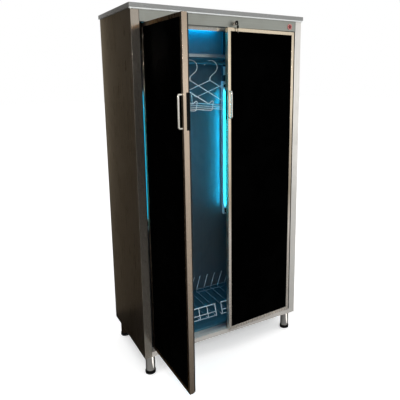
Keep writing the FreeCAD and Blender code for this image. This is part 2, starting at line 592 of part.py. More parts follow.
def hangers():
    """Wire hangers on the rail: a hook over it, sloped shoulders with a strap notch, and a trouser bar."""
    radius = size("hanger_wire")
    top = size("hanging_height") + size("rail_radius") + size("hook_gap") + radius
    hook = size("hook_radius")
    sag = hook * (1 - math.cos(math.radians(hook_sweep / hook_chords / 2)))
    centre_z = top + sag - hook
    neck_z = centre_z - hook * math.sqrt(2)
    apex_z = neck_z - size("neck_length")
    turn, tilt = math.radians(-size("hanger_turn_angle")), math.radians(size("hanger_tilt_angle"))
    half = [(0, 0), (size("notch_reach"), size("notch_drop")), (size("bump_reach"), size("bump_drop")),
            (size("bump_reach") + size("bump_width"), size("bump_drop") + size("bump_width") / 2),
            (size("hanger_reach"), size("hanger_drop")), (0, size("hanger_drop"))]

    for label in hanger_names:
        x = size(f"{label}_place")

        def at(s, z):
            drop = centre_z - z
            along = s * math.cos(tilt) - drop * math.sin(tilt)
            return Vector(x + along * math.cos(turn), size("hanging_offset") + along * math.sin(turn),
                          centre_z - s * math.sin(tilt) - drop * math.cos(tilt))

        def on_hook(degrees):
            angle = math.radians(degrees)
            return at(hook * math.cos(angle), centre_z + hook * math.sin(angle))

        bends = [on_hook(hook_sweep - 45 - hook_sweep * i / hook_chords) for i in range(hook_chords + 1)]
        crook = wire(bends + [at(0, neck_z), at(0, apex_z)], radius, hanger_sides)
        collar = wire([at(0, apex_z - size("collar_radius")), at(0, neck_z - radius)],
                      size("collar_radius"), hanger_sides)
        loops = [wire([at(side * s, apex_z - drop) for s, drop in half], radius, hanger_sides)
                 for side in (-1, 1)]
        piece = doc.addObject("Part::Feature", label)
        piece.Shape = crook.multiFuse([collar] + loops)
        keep(piece, label)


def shoe_racks():
    """Welded wire racks on the floor: a grid of rods, a low fence in front and a row of leaning prongs."""
    rod, rim, sink = size("rack_wire"), size("rim_wire"), size("weld_sink")
    low = size("floor_z") + size("rack_seat") + rod
    grid_z = low + 2 * rod - sink
    bend = size("rack_bend")
    near = size("front_y") + size("rack_front") + bend
    far = size("inner_back") - size("rack_rear") - bend
    fence = Vector(0, size("fence_lean"), size("fence_height"))
    prong = Vector(0, -size("prong_lean"), size("prong_height"))
    span = (rack_wires - 1) * size("rack_pitch")

    wall = size("inner_x")
    for label, left in (("left_shoe_rack", size("rack_left_gap") - wall),
                        ("right_shoe_rack", wall - size("rack_right_gap") - span)):
        def cross(y, z, radius):
            ends = (left - rod - sink, left + span + rod + sink)
            return wire([Vector(x, y, z) for x in ends], radius, rack_sides)

        places = [left + i * size("rack_pitch") for i in range(rack_wires)]
        floor = [wire([Vector(x, near, grid_z), Vector(x, far, grid_z)], rod, rack_sides) for x in places]
        floor_bars = [cross(y, low, rod) for y in (near + 4 * rod, far - 4 * rod)]
        foot, heel = Vector(0, near - bend, grid_z), Vector(0, far + bend, grid_z)
        uprights = [wire([Vector(x, near, grid_z), Vector(x, 0, 0) + foot, Vector(x, 0, 0) + foot + fence],
                         rod, rack_sides) for x in places]
        mid = foot + fence * (size("fence_mid") / size("fence_height"))
        rims = [cross((foot + fence).y, (foot + fence).z + rim - sink, rim),
                cross(mid.y - 2 * rod + sink, mid.z, rod)]
        prongs = [wire([Vector(x, far, grid_z), Vector(x, 0, 0) + heel, Vector(x, 0, 0) + heel + prong],
                       rod, rack_sides) for x in places]
        tie = heel + prong * (size("tie_rise") / size("prong_height"))
        tie_bar = cross(tie.y + 2 * rod + size("tie_gap"), tie.z, rod)
        piece = doc.addObject("Part::Feature", label)
        grids = [welded[0].multiFuse(welded[1:]) for welded in (floor + floor_bars, uprights + rims)]
        piece.Shape = Part.makeCompound(grids + prongs + [tie_bar])
        keep(piece, label)


carcass()
front_members()
top_cover()
legs()
hinge_pins()
door("left", -1)
door("right", 1)
shelf_and_rail()
lamps()
works()
lock_and_switch()
hangers()
shoe_racks()
doc.recompute()

failed = [item.Label for item in doc.Objects if {"Invalid", "Error"} & set(item.State)]
failed += [item.Label for item in nodes if item.Shape.isNull() or not item.Shape.isValid()]
if failed:
    raise RuntimeError("these did not build: " + ", ".join(failed))
os.makedirs("parts", exist_ok=True)
for item in nodes:
    item.Shape.exportStep(f"parts/{item.Label}.step")
print(len(nodes), "nodes,", sum(len(item.Shape.Solids) for item in nodes), "solids")
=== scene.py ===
import math

import bmesh
import bpy
from mathutils import Matrix, Vector


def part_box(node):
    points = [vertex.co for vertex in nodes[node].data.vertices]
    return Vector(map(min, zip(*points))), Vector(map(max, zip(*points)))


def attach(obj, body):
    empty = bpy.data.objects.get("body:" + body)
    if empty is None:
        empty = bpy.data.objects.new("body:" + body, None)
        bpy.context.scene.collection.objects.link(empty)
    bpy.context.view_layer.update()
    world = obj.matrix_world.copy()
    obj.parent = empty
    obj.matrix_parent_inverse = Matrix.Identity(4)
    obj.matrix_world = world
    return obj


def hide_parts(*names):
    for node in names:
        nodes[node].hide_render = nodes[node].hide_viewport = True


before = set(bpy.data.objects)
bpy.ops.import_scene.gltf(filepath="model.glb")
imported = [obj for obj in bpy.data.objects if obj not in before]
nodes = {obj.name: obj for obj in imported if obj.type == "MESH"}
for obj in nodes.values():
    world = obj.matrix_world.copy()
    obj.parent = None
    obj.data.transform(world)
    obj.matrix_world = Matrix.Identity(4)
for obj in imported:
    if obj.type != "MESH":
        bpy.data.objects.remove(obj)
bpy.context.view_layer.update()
scene = bpy.context.scene
scene.view_settings.view_transform = "Standard"
print("frame loaded:", len(nodes), "nodes")


def addObject(name, data):
    holder = bpy.data.objects.new(name, data)
    scene.collection.objects.link(holder)
    return holder


# camera, at the photograph's viewing angle
cameraSet = {
    "yaw": 31.0, "pitch": -10.98, "roll": -0.03,  # degrees, yaw from +Y towards +X
    "place": (-1.187, -2.35, 1.553),
    "focal": 453.1, "centre": (236.4, 168.2), "side": 400,  # in pixels of the square frame
    "sensor": 36, "clip": 0.05,
}


def placeCamera(yaw, pitch, roll, place, focal, centre, side, sensor, clip):
    yaw, pitch, roll = (math.radians(angle) for angle in (yaw, pitch, roll))
    turns = ((-yaw, "Z"), (math.pi / 2 + pitch, "X"), (roll, "Z"))
    around, lift, lean = (Matrix.Rotation(angle, 4, axis) for angle, axis in turns)
    lens = bpy.data.cameras.new("photoCamera")
    lens.sensor_width = sensor
    lens.lens = sensor * focal / side
    lens.shift_x = 0.5 - centre[0] / side
    lens.shift_y = centre[1] / side - 0.5
    lens.clip_start = clip
    scene.camera = addObject("photoCamera", lens)
    scene.camera.matrix_world = Matrix.Translation(place) @ around @ lift @ lean


placeCamera(**cameraSet)
print("camera placed")


# shader helpers
def feed(tree, inputs, values):
    # a socket is linked, and any other value is set
    for key, value in values.items():
        if isinstance(value, bpy.types.NodeSocket):
            tree.links.new(value, inputs[key])
        else:
            inputs[key].default_value = value


def addNode(tree, kind, feeds=None, **settings):
    node = tree.nodes.new(kind)
    for name, value in settings.items():
        setattr(node, name, value)
    feed(tree, node.inputs, feeds or {})
    return node


def newGroup(name, inputs, outputs):
    group = bpy.data.node_groups.new(name, "ShaderNodeTree")
    kinds = {"colour": "NodeSocketColor", "value": "NodeSocketFloat", "vector": "NodeSocketVector"}
    for way, sockets in (("INPUT", inputs), ("OUTPUT", outputs)):
        for kind, labels in sockets.items():
            for label in labels.split():
                group.interface.new_socket(label, in_out=way, socket_type=kinds[kind])
    return group, addNode(group, "NodeGroupInput").outputs, addNode(group, "NodeGroupOutput").inputs


def useGroup(tree, group, feeds):
    return addNode(tree, "ShaderNodeGroup", feeds, node_tree=group).outputs


def maths(tree, operation, first, second=0.0, clamp=False):
    return addNode(tree, "ShaderNodeMath", {0: first, 1: second}, operation=operation,
                   use_clamp=clamp).outputs[0]


def times(tree, first, second, clamp=False):
    return maths(tree, "MULTIPLY", first, second, clamp)


def vectorMaths(tree, operation, first, second):
    return addNode(tree, "ShaderNodeVectorMath", {0: first, 1: second}, operation=operation).outputs


def blend(tree, share, first, second):
    return addNode(tree, "ShaderNodeMix", {0: share, 6: first, 7: second}, data_type="RGBA").outputs[2]


def spread(tree, value, old=(0.0, 1.0), new=(0.0, 1.0)):
    # carries the old range over to the new one
    return addNode(tree, "ShaderNodeMapRange", {"Value": value, "From Min": old[0], "From Max": old[1],
                                                "To Min": new[0], "To Max": new[1]}).outputs[0]


def noise(tree, vector, scale, detail=2.0, rough=0.5, output="Fac"):
    return addNode(tree, "ShaderNodeTexNoise", {"Vector": vector, "Scale": scale, "Detail": detail,
                                                "Roughness": rough}).outputs[output]


def objectPlace(tree):
    return addNode(tree, "ShaderNodeTexCoord").outputs["Object"]


def alongAxis(tree, axis):
    return addNode(tree, "ShaderNodeSeparateXYZ", {0: objectPlace(tree)}).outputs[axis]


def tone(red, green, blue):
    # colours are written as they should look, 0 to 255
    linear = [((c / 255 + 0.055) / 1.055) ** 2.4 if c > 10 else c / 255 / 12.92 for c in (red, green, blue)]
    return (*linear, 1.0)


# brushing: fine streaks along one way, with broad cloudy unevenness under them
brushingSet = {
    "wide": (1.0, 3.0, 0.65), "fine": (4.3, 2.0, 0.6), "cloud": (3.1, 3.0, 0.55),  # scale, detail, roughness
    "wideShare": 0.62, "fineShare": 0.38, "streakRange": (0.3, 0.7), "cloudRange": (0.35, 0.72),
}


def makeBrushing(wide, fine, cloud, wideShare, fineShare, streakRange, cloudRange):
    group, given, out = newGroup(
        "brushing", {"colour": "Base Streak", "vector": "Stretch", "value": "Contrast Cloud Smooth Rough"},
        {"colour": "Colour", "value": "Roughness Height"})
    place = objectPlace(group)
    drawn = vectorMaths(group, "MULTIPLY", place, given["Stretch"])[0]
    streak = maths(group, "ADD", times(group, noise(group, drawn, *wide), wideShare),
                   times(group, noise(group, drawn, *fine), fineShare))
    sharp = spread(group, streak, streakRange)
    lines = blend(group, times(group, sharp, given["Contrast"]), given["Base"], given["Streak"])
    patch = times(group, spread(group, noise(group, place, *cloud), cloudRange), given["Cloud"])
    feed(group, out, {
        "Colour": blend(group, patch, lines, given["Streak"]),
        "Roughness": spread(group, sharp, new=(given["Smooth"], given["Rough"])), "Height": streak})
    return group


# edges: a narrow rounded normal and a mask where the sheet or bar turns a corner
def makeEdges(samples=4):
    group, given, out = newGroup("edges", {"value": "Width Gain"}, {"value": "Mask", "vector": "Normal"})
    rounded = addNode(group, "ShaderNodeBevel", {"Radius": given["Width"]}, samples=samples).outputs[0]
    facing = addNode(group, "ShaderNodeNewGeometry").outputs["Normal"]
    turned = maths(group, "SUBTRACT", 1.0, vectorMaths(group, "DOT_PRODUCT", rounded, facing)["Value"])
    feed(group, out, {"Mask": times(group, turned, given["Gain"], True), "Normal": rounded})
    return group


# handling: faint smears and wiped patches that change colour and gloss
handlingSet = {"warpScale": 2.0, "detail": 4.0, "rough": 0.62, "filmRange": (0.46, 0.74), "dulling": 0.35}


def makeHandling(warpScale, detail, rough, filmRange, dulling):
    group, given, out = newGroup("handling", {"colour": "Colour Film", "value": "Roughness Amount Scale"},
                                 {"colour": "Colour", "value": "Roughness"})
    place = objectPlace(group)
    bent = vectorMaths(group, "ADD", place, noise(group, place, warpScale, output="Color"))[0]
    smear = noise(group, bent, given["Scale"], detail, rough)
    film = times(group, spread(group, smear, filmRange), given["Amount"])
    feed(group, out, {
        "Colour": blend(group, film, given["Colour"], given["Film"]),
        "Roughness": maths(group, "ADD", given["Roughness"], times(group, film, dulling), True)})
    return group


# moulding: the fine pimpled grain of plastic and rubber
mouldingSet = {
    "pimples": (2.0, 0.6), "patches": (38.0, 4.0, 0.6), "wornRange": (0.45, 0.75), "roughRange": (0.3, 0.7),
}


def makeMoulding(pimples, patches, wornRange, roughRange):
    group, given, out = newGroup("moulding", {"colour": "Colour Worn", "value": "Grain Smooth Rough"},
                                 {"colour": "Colour", "value": "Roughness Height"})
    place = objectPlace(group)
    uneven = noise(group, place, *patches)
    feed(group, out, {
        "Colour": blend(group, spread(group, uneven, wornRange), given["Colour"], given["Worn"]),
        "Roughness": spread(group, uneven, roughRange, (given["Smooth"], given["Rough"])),
        "Height": noise(group, place, given["Grain"], *pimples)})
    return group


brushing, edges = makeBrushing(**brushingSet), makeEdges()
handling, moulding = makeHandling(**handlingSet), makeMoulding(**mouldingSet)


def startMaterial(name):
    material = bpy.data.materials.new(name)
    material.use_nodes = True
    tree = material.node_tree
    tree.nodes.clear()
    surface = addNode(tree, "ShaderNodeBsdfPrincipled")
    addNode(tree, "ShaderNodeOutputMaterial", {"Surface": surface.outputs[0]})
    return material, tree, surface.inputs


def bumped(tree, height, strength, depth, corner):
    return addNode(tree, "ShaderNodeBump", {"Height": height, "Strength": strength, "Distance": depth,
                                            "Normal": corner["Normal"]}).outputs[0]


# metals: a look lists what differs from plain brushed steel
steel = {
    "base": (176, 175, 169), "streak": (140, 139, 134), "stretch": (330, 330, 2.2), "contrast": 0.55,
    "cloud": 0.3, "smooth": 0.2, "rough": 0.36, "edge": 0.0012, "film": (120, 116, 108), "smear": 0.25,
    "shine": 0.5, "rim": (236, 236, 232), "bump": 0.12, "metallic": 1.0, "tint": (235, 235, 235),
    "edgeGain": 7.0, "smearScale": 7.0, "bumpDepth": 0.0004,
}
sideways = (2.2, 330, 330)  # brushed from left to right
alloyLook = {"contrast": 0.3, "cloud": 0.2, "rough": 0.34, "smear": 0.2, "tint": (24, 21, 18)}
wireLook = {"contrast": 0.3, "smooth": 0.16, "rough": 0.32, "edge": 0.0003, "stretch": (90, 90, 90)}
metalLooks = {
    "postSteel": {},
    # painted shade and light: the two front posts share one steel, given a darker copy on the left and a lighter copy
    # on the right
    "shadedLeftPostSteel": dict(
        base=(166, 158, 147), streak=(146, 138, 127), film=(120, 111, 100), rim=(176, 170, 160),
        tint=(120, 112, 102), metallic=0.9, dull=(0.78, 0.3, 1.2), smooth=0.1, rough=0.18, bump=0.03,
        cloud=0.2, smear=0.1),
    "litRightPostSteel": dict(
        base=(220, 217, 211), streak=(192, 189, 184), film=(180, 177, 171), metallic=0.55, smooth=0.26, rough=0.46),
    "fasciaSteel": dict(
        base=(154, 156, 149), streak=(126, 128, 122), stretch=sideways, smooth=0.26, rough=0.42),
    "topSteel": dict(base=(146, 147, 146), streak=(123, 124, 123), stretch=sideways, metallic=0.65),
    # painted reflection: a dark bluish band along the back of the ledge stands in for the dark inside seen in it
    "railSteel": dict(
        base=(226, 220, 212), streak=(150, 146, 142), film=(160, 155, 150), stretch=sideways, contrast=0.9,
        metallic=0.12, paintedBands=[((62, 64, 84), 0.85, [("Y", -0.246, -0.222), ("X", -0.2, 0.0)])]),
    "sideSheet": dict(
        base=(196, 188, 176), streak=(170, 162, 150), film=(164, 156, 144), rim=(206, 198, 186),
        tint=(150, 143, 132), smear=0.18, cloud=0.18, smooth=0.22, contrast=0.35),
    "innerSheet": dict(
        base=(140, 152, 158), streak=(118, 130, 137), film=(104, 117, 124), rim=(190, 202, 208),
        tint=(150, 158, 162), smear=0.35, smooth=0.28, rough=0.46, metallic=0.8),
    # painted light: the floor tray is given the lamps' teal as its own colour
    "traySheet": dict(
        base=(100, 148, 166), streak=(70, 116, 134), film=(64, 106, 124), rim=(150, 176, 186),
        tint=(120, 150, 162), smear=0.3, smooth=0.24, rough=0.4, metallic=0.85, stretch=(2.2, 200, 200)),
    # painted shade on the right stile below about 1.3 m, and a painted highlight on the frame's lower end
    "doorAlloy": dict(
        alloyLook, base=(206, 192, 169), streak=(186, 172, 150), film=(158, 145, 124), rim=(232, 220, 200),
        paintedBands=[((166, 154, 136), 1.0, [("X", 0.4, 0.42), ("Z", 1.4, 1.25)]),
               ((250, 240, 228), 0.9, [("Z", 0.9, 0.7)])]),
    # painted shade: the left door's frame is darker towards its lower and upper ends
    "leftDoorAlloy": dict(
        alloyLook, base=(214, 194, 173), streak=(194, 174, 154), film=(164, 147, 128), rim=(238, 222, 204),
        paintedBands=[((66, 55, 43), 0.62, [("Z", 0.75, 0.15)]), ((96, 86, 72), 0.5, [("Z", 1.55, 1.82)])]),
    "handleSteel": dict(
        base=(226, 222, 212), streak=(196, 192, 182), contrast=0.4, smooth=0.14, rough=0.28),
    "wireChrome": dict(
        wireLook, base=(250, 251, 251), streak=(234, 237, 238), film=(226, 230, 231), metallic=0.2),
    # painted reflection: the hanging rail's dark teal stands in for the dark inside that it reflects
    "tubeChrome": dict(
        base=(72, 124, 140), streak=(60, 110, 126), film=(52, 100, 116), rim=(116, 146, 156), tint=(60, 80, 88),
        contrast=0.3, stretch=(2.2, 200, 200), metallic=0.4),
    # painted light and shade: a bluish white for the lamps' light on the fence, and a teal painted shade on the low
    # wires behind the front
    "rackChrome": dict(
        wireLook, base=(230, 244, 252), streak=(216, 232, 241), film=(206, 223, 232), rim=(214, 232, 242),
        metallic=0.12, paintedBands=[((58, 106, 132), 0.85, [("Z", 0.18, 0.163), ("Y", -0.112, -0.1)])]),
    "shadedSteel": dict(
        base=(22, 21, 19), streak=(16, 15, 14), film=(14, 13, 12), rim=(40, 38, 35), tint=(40, 38, 35),
        metallic=0.5, smooth=0.45, rough=0.7),
    # painted highlight: the hem's light, less metallic finish paints the bright line under the top plate's front edge
    "hemHighlightSteel": dict(
        base=(232, 234, 233), streak=(218, 220, 219), film=(208, 210, 209), contrast=0.3, smooth=0.3, rough=0.45,
        stretch=(4, 300, 300), metallic=0.3),
    # painted shade: the dark edge tint darkens the legs' sides
    "legChrome": dict(
        base=(232, 229, 224), streak=(206, 202, 197), film=(190, 186, 180), tint=(18, 17, 16), contrast=0.3,
        smooth=0.07, rough=0.15, edge=0.0006, stretch=(120, 120, 6), smear=0.12),
    "pinSteel": dict(base=(170, 170, 168), stretch=(40, 40, 600)),
    "lampWhite": dict(
        base=(216, 220, 222), streak=(200, 205, 208), film=(180, 184, 186), metallic=0.0, contrast=0.3,
        smooth=0.35, rough=0.5, stretch=(60, 60, 60), bump=0.05),
    "lockChrome": dict(
        base=(162, 157, 150), streak=(132, 127, 120), smooth=0.12, rough=0.24, edge=0.0005,
        stretch=(200, 200, 200)),
    "ballastAlloy": dict(base=(186, 188, 190), stretch=(2, 260, 260)),
}


def metal(name, base, streak, stretch, contrast, cloud, smooth, rough, edge, film, smear, shine, rim, bump, metallic,
          tint, edgeGain, smearScale, bumpDepth, paintedBands=(), dull=None):
    material, tree, surface = startMaterial(name)
    brushed = useGroup(tree, brushing, {
        "Base": tone(*base), "Streak": tone(*streak), "Stretch": stretch, "Contrast": contrast, "Cloud": cloud,
        "Smooth": smooth, "Rough": rough})
    corner = useGroup(tree, edges, {"Width": edge, "Gain": edgeGain})
    touched = useGroup(tree, handling, {
        "Colour": brushed["Colour"], "Film": tone(*film), "Roughness": brushed["Roughness"], "Amount": smear,
        "Scale": smearScale})
    lit = blend(tree, times(tree, corner["Mask"], shine), touched["Colour"], tone(*rim))
    for colour, share, ways in paintedBands:
        # painted shade and painted highlight: a darker or lighter band that grows along each axis, from where there
        # is none to where it is full
        for axis, none, full in ways:
            share = times(tree, spread(tree, alongAxis(tree, axis), (none, full)), share)
        lit = blend(tree, share, lit, tone(*colour))
    if dull:
        # painted shading: a less metallic lower end, less bright metal below the first height than above the second,
        # standing in for how light falls there
        lowMetallic, low, high = dull
        metallic = spread(tree, alongAxis(tree, "Z"), (low, high), (lowMetallic, metallic))
    feed(tree, surface, {
        "Base Color": lit, "Roughness": touched["Roughness"], "Metallic": metallic, "Specular Tint": tone(*tint),
        "Normal": bumped(tree, brushed["Height"], bump, bumpDepth, corner)})
    return material


finishes = {name: metal(name, **{**steel, **look}) for name, look in metalLooks.items()}


# plastics and rubber: a look lists what differs from plain plastic
plastic = {
    "grain": 900.0, "edge": 0.0008, "bump": 0.15, "gloss": 0.2, "edgeGain": 6.0, "shine": 0.35, "bumpDepth": 0.0003,
}
plasticLooks = {
    "sealRubber": dict(
        base=(24, 24, 25), worn=(40, 39, 38), rim=(58, 57, 55), smooth=0.5, rough=0.75, grain=700.0, bump=0.25),
    "blackPlastic": dict(
        base=(8, 8, 9), worn=(14, 14, 15), rim=(40, 40, 42), smooth=0.3, rough=0.5, grain=1100.0, bump=0.18,
        gloss=0.06),
    # painted shade: the wiring ducts are darkened so that the light over the shelf does not show on them
    "shadedDuctGrey": dict(base=(58, 70, 76), worn=(48, 60, 66), rim=(96, 108, 114), smooth=0.4, rough=0.6),
    "greyPlastic": dict(
        base=(238, 240, 238), worn=(222, 225, 224), rim=(220, 226, 228), smooth=0.35, rough=0.55, gloss=0.4),
    "darkRed": dict(
        base=(104, 24, 26), worn=(78, 16, 18), rim=(150, 60, 58), smooth=0.12, rough=0.24, grain=700.0,
        edge=0.0006, bump=0.05, gloss=0.6),
    "redPlastic": dict(
        base=(206, 128, 124), worn=(188, 108, 104), rim=(236, 120, 112), smooth=0.12, rough=0.25, grain=500.0,
        edge=0.0006, bump=0.05, gloss=0.5),
}


def moulded(name, base, worn, rim, smooth, rough, grain, edge, bump, gloss, edgeGain, shine, bumpDepth):
    material, tree, surface = startMaterial(name)
    grained = useGroup(tree, moulding, {
        "Colour": tone(*base), "Worn": tone(*worn), "Grain": grain, "Smooth": smooth, "Rough": rough})
    corner = useGroup(tree, edges, {"Width": edge, "Gain": edgeGain})
    feed(tree, surface, {
        "Base Color": blend(tree, times(tree, corner["Mask"], shine), grained["Colour"], tone(*rim)),
        "Roughness": grained["Roughness"], "Specular IOR Level": gloss,
        "Normal": bumped(tree, grained["Height"], bump, bumpDepth, corner)})
    return material


finishes.update({name: moulded(name, **{**plastic, **look}) for name, look in plasticLooks.items()})


# the black door panels: almost no gloss, with faint wiped smears
panelSet = {
    "base": (1, 1, 1), "film": (4, 4, 4), "gloss": 0.0003, "rough": (0.14, 0.34), "smear": 0.6,
    "ripple": 5.0, "smearScale": 4.0,
}


def blackPanel(name, base, film, gloss, rough, smear, ripple, smearScale):
    material, tree, surface = startMaterial(name)
    uneven = spread(tree, noise(tree, objectPlace(tree), ripple), new=rough)
    touched = useGroup(tree, handling, {
        "Colour": tone(*base), "Film": tone(*film), "Roughness": uneven, "Amount": smear, "Scale": smearScale})
    feed(tree, surface, {
        "Base Color": touched["Colour"], "Roughness": touched["Roughness"], "Specular IOR Level": gloss})
    return material


finishes["doorBlack"] = blackPanel("doorBlack", **panelSet)


# the glowing tubes: brightest along the middle, dimmer and greyer at the ends
glowSet = {
    "tubes": {"left": ("Z", 26.0), "right": ("Z", 26.0), "top": ("X", 5.5)},  # axis, and light given to the room
    "core": (0.004, 0.62, 1.0, 1), "end": (0.04, 0.3, 0.42, 1), "glass": (20, 60, 70), "endGlass": (90, 105, 110),
    "seen": 0.8, "rough": 0.12, "fade": (0.045, 0.008), "flicker": (14.0, 1.0), "flickerShare": 0.16,
}


def glowing(name, tubes, core, end, glass, endGlass, seen, rough, fade, flicker, flickerShare):
    # the lens sees the tube's own colour, and the room gets its full light
    material, tree, surface = startMaterial(f"{name}Glow")
    axis, light = tubes[name]
    low, high = (corner["XYZ".index(axis)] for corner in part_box(f"{name}_lamp_tube"))
    middle, half = (low + high) / 2, (high - low) / 2
    offset = maths(tree, "ABSOLUTE", maths(tree, "SUBTRACT", alongAxis(tree, axis), middle))
    faded = spread(tree, offset, (half - fade[0], half - fade[1]))
    uneven = spread(tree, noise(tree, objectPlace(tree), *flicker), new=(0.0, flickerShare))
    share = maths(tree, "ADD", faded, uneven, True)
    direct = addNode(tree, "ShaderNodeLightPath").outputs["Is Camera Ray"]
    feed(tree, surface, {
        "Emission Color": blend(tree, share, core, end), "Roughness": rough,
        "Base Color": blend(tree, share, tone(*glass), tone(*endGlass)),
        "Emission Strength": spread(tree, direct, new=(light, seen))})
    return material


# which finish each CAD node gets
nodeFinish = {
    "postSteel": "door_stops leg_tubes base_channels",
    "shadedLeftPostSteel": "left_front_post",
    "litRightPostSteel": "right_front_post",
    "fasciaSteel": "fascia_panel",
    "topSteel": "top_plate roof_panel",
    "railSteel": "bottom_front_rail",
    "sideSheet": "left_side_panel right_side_panel",
    "innerSheet": "back_panel rear_posts hat_shelf shelf_brackets left_door_liner right_door_liner",
    "traySheet": "floor_panel",
    "doorAlloy": "right_door_frame",
    "leftDoorAlloy": "left_door_frame",
    "doorBlack": "left_door_panel right_door_panel",
    "sealRubber": "left_door_gasket right_door_gasket",
    "shadedSteel": "corner_gussets",
    "handleSteel": "left_handle right_handle",
    "tubeChrome": "hanging_rail rail_flanges",
    "wireChrome": "hanger_a hanger_b hanger_c hanger_d hanger_e",
    "rackChrome": "left_shoe_rack right_shoe_rack",
    "pinSteel": "hinge_pins",
    "blackPlastic": "lamp_holders door_switches cable_gland left_handle_backing right_handle_backing key_bow "
                    "foot_front_left foot_front_right foot_rear_left foot_rear_right",
    "shadedDuctGrey": "wiring_ducts",
    "lampWhite": "lamp_battens",
    "lockChrome": "lock_barrel lock_plug key_blade switch_housing",
    "redPlastic": "switch_button",
    "ballastAlloy": "ballast_box",
}
for name in glowSet["tubes"]:
    finishes[f"{name}Glow"] = glowing(name, **glowSet)
    nodeFinish[f"{name}Glow"] = f"{name}_lamp_tube"
for finish, names in nodeFinish.items():
    for node in (nodes[name] for name in names.split()):
        if not node.material_slots:
            node.data.materials.append(finishes[finish])
        for slot in node.material_slots:
            slot.material = finishes[finish]
print("materials made:", len(bpy.data.materials))


# mesh helpers: pieces are built in the row frame, in metres, from a shape of verts and faces
def meshPiece(name, shape, finish, body, sharp=32):
    # edges that turn by more than the sharp angle show: None smooths them all, and 0 keeps flat faces
    mesh = bpy.data.meshes.new(name)
    mesh.from_pydata([tuple(v) for v in shape[0]], [], shape[1])
    mesh.validate()
    mesh.update()
    if sharp != 0:
        mesh.shade_smooth()
    if sharp:
        mesh.set_sharp_from_angle(angle=math.radians(sharp))
    mesh.materials.append(finishes[finish])
    piece = addObject(name, mesh)
    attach(piece, body)
    return piece


def join(shapes):
    verts, faces = [], []
    for shapeVerts, shapeFaces in shapes:
        start = len(verts)
        verts.extend(shapeVerts)
        faces.extend(tuple(start + i for i in face) for face in shapeFaces)
    return verts, faces


def bridge(rings, count, closed=False):
    # faces between rings of verts that follow one another, and back to the first ring if closed
    faces = []
    for ring in range(rings if closed else rings - 1):
        low, high = ring * count, (ring + 1) % rings * count
        for i in range(count):
            j = (i + 1) % count
            faces.append((low + i, low + j, high + j, high + i))
    return faces


def endFaces(rings, count):
    last = (rings - 1) * count
    return [tuple(reversed(range(count))), tuple(range(last, last + count))]


def circle(radius, sides):
    return [(radius * math.cos(2 * math.pi * i / sides), radius * math.sin(2 * math.pi * i / sides))
            for i in range(sides)]


def roundedSquare(half, corner, steps):
    points = []
    for sx, sy, start in ((1, 1, 0), (-1, 1, 90), (-1, -1, 180), (1, -1, 270)):
        for step in range(steps + 1):
            angle = math.radians(start + 90 * step / steps)
            points.append((sx * (half - corner) + corner * math.cos(angle),
                           sy * (half - corner) + corner * math.sin(angle)))
    return points


def roundBend(points, bend, steps=5, most=0.45):
    # each corner becomes a short arc, kept within its two runs
    path = [points[0]]
    for before, corner, after in zip(points, points[1:], points[2:]):
        back, on = before - corner, after - corner
        reach = min(bend, most * back.length, most * on.length)
        first, last = corner + back.normalized() * reach, corner + on.normalized() * reach
        for step in range(steps + 1):
            t = step / steps
            path.append(first * (1 - t) ** 2 + corner * 2 * t * (1 - t) + last * t * t)
    path.append(points[-1])
    return path


def sweep(path, section, across=None):
    # a section carried along a path without twisting, closed at both ends
    verts = []
    ahead = (path[1] - path[0]).normalized()
    side = (across or ahead.orthogonal()).normalized()
    for i, point in enumerate(path):
        before = (point - path[i - 1]).normalized() if i else ahead
        after = (path[i + 1] - point).normalized() if i + 1 < len(path) else before
        tangent = (before + after).normalized()
        side = (side - tangent * side.dot(tangent)).normalized()
        up = tangent.cross(side)
        widen = 1 / max(0.5, tangent.dot(before))  # keeps the width through a corner
        for u, v in section:
            verts.append(point + side * u * (widen if across is None else 1) + up * v * widen)
    return verts, bridge(len(path), len(section)) + endFaces(len(path), len(section))


def rod(start, end, radius, sides, soft=0.25):
    # a straight round wire with slightly rounded ends
    run = (end - start).normalized()
    lip = radius * soft
    path = [start, start + run * lip, end - run * lip, end]
    verts, faces = sweep(path, circle(radius, sides))
    for ring, centre in ((0, start), (len(path) - 1, end)):
        for i in range(ring * sides, (ring + 1) * sides):
            verts[i] = centre + (verts[i] - centre) * (1 - soft)
    return verts, faces


def lathe(profile, origin, axis, sides):
    # a profile of (radius, distance along the axis) turned round it
    run = Vector(axis).normalized()
    side = run.orthogonal().normalized()
    up = run.cross(side)
    verts = []
    for radius, distance in profile:
        centre = Vector(origin) + run * distance
        verts += [centre + side * u + up * v for u, v in circle(radius, sides)]
    first, last = endFaces(len(profile), sides)
    faces = bridge(len(profile), sides)
    if profile[0][0] > 0:
        faces.append(first)
    if profile[-1][0] > 0:
        faces.append(last)
    return verts, faces


def ringLathe(profile, origin, axis, sides):
    # a closed profile turned into a ring, open in the middle
    verts, faces = lathe(profile + [profile[0]], origin, axis, sides)
    return verts, [face for face in faces if len(face) == 4]


def roundedBlock(low, high, bevel, steps=3):
    mesh = bmesh.new()
    bmesh.ops.create_cube(mesh, size=1)
    span = Vector(high) - Vector(low)
    for vert in mesh.verts:
        vert.co = Vector(low) + Vector((vert.co[i] + 0.5) * span[i] for i in range(3))
    bmesh.ops.bevel(mesh, geom=mesh.edges[:], offset=bevel, segments=steps, profile=0.5, affect="EDGES")
    mesh.verts.index_update()
    verts = [vert.co.copy() for vert in mesh.verts]
    faces = [tuple(vert.index for vert in face.verts) for face in mesh.faces]
    mesh.free()
    return verts, faces


# screws: a low button head with a sunk round socket, as shares of its radius and height
screwSet = {
    "head": [(1, 0), (1, 0.25), (0.86, 0.72), (0.55, 1), (0.42, 1), (0.38, 0.35), (0, 0.35)], "sides": 16,
}


def socketScrew(origin, out, radius, height):
    return lathe([(r * radius, h * height) for r, h in screwSet["head"]], origin, out, screwSet["sides"])


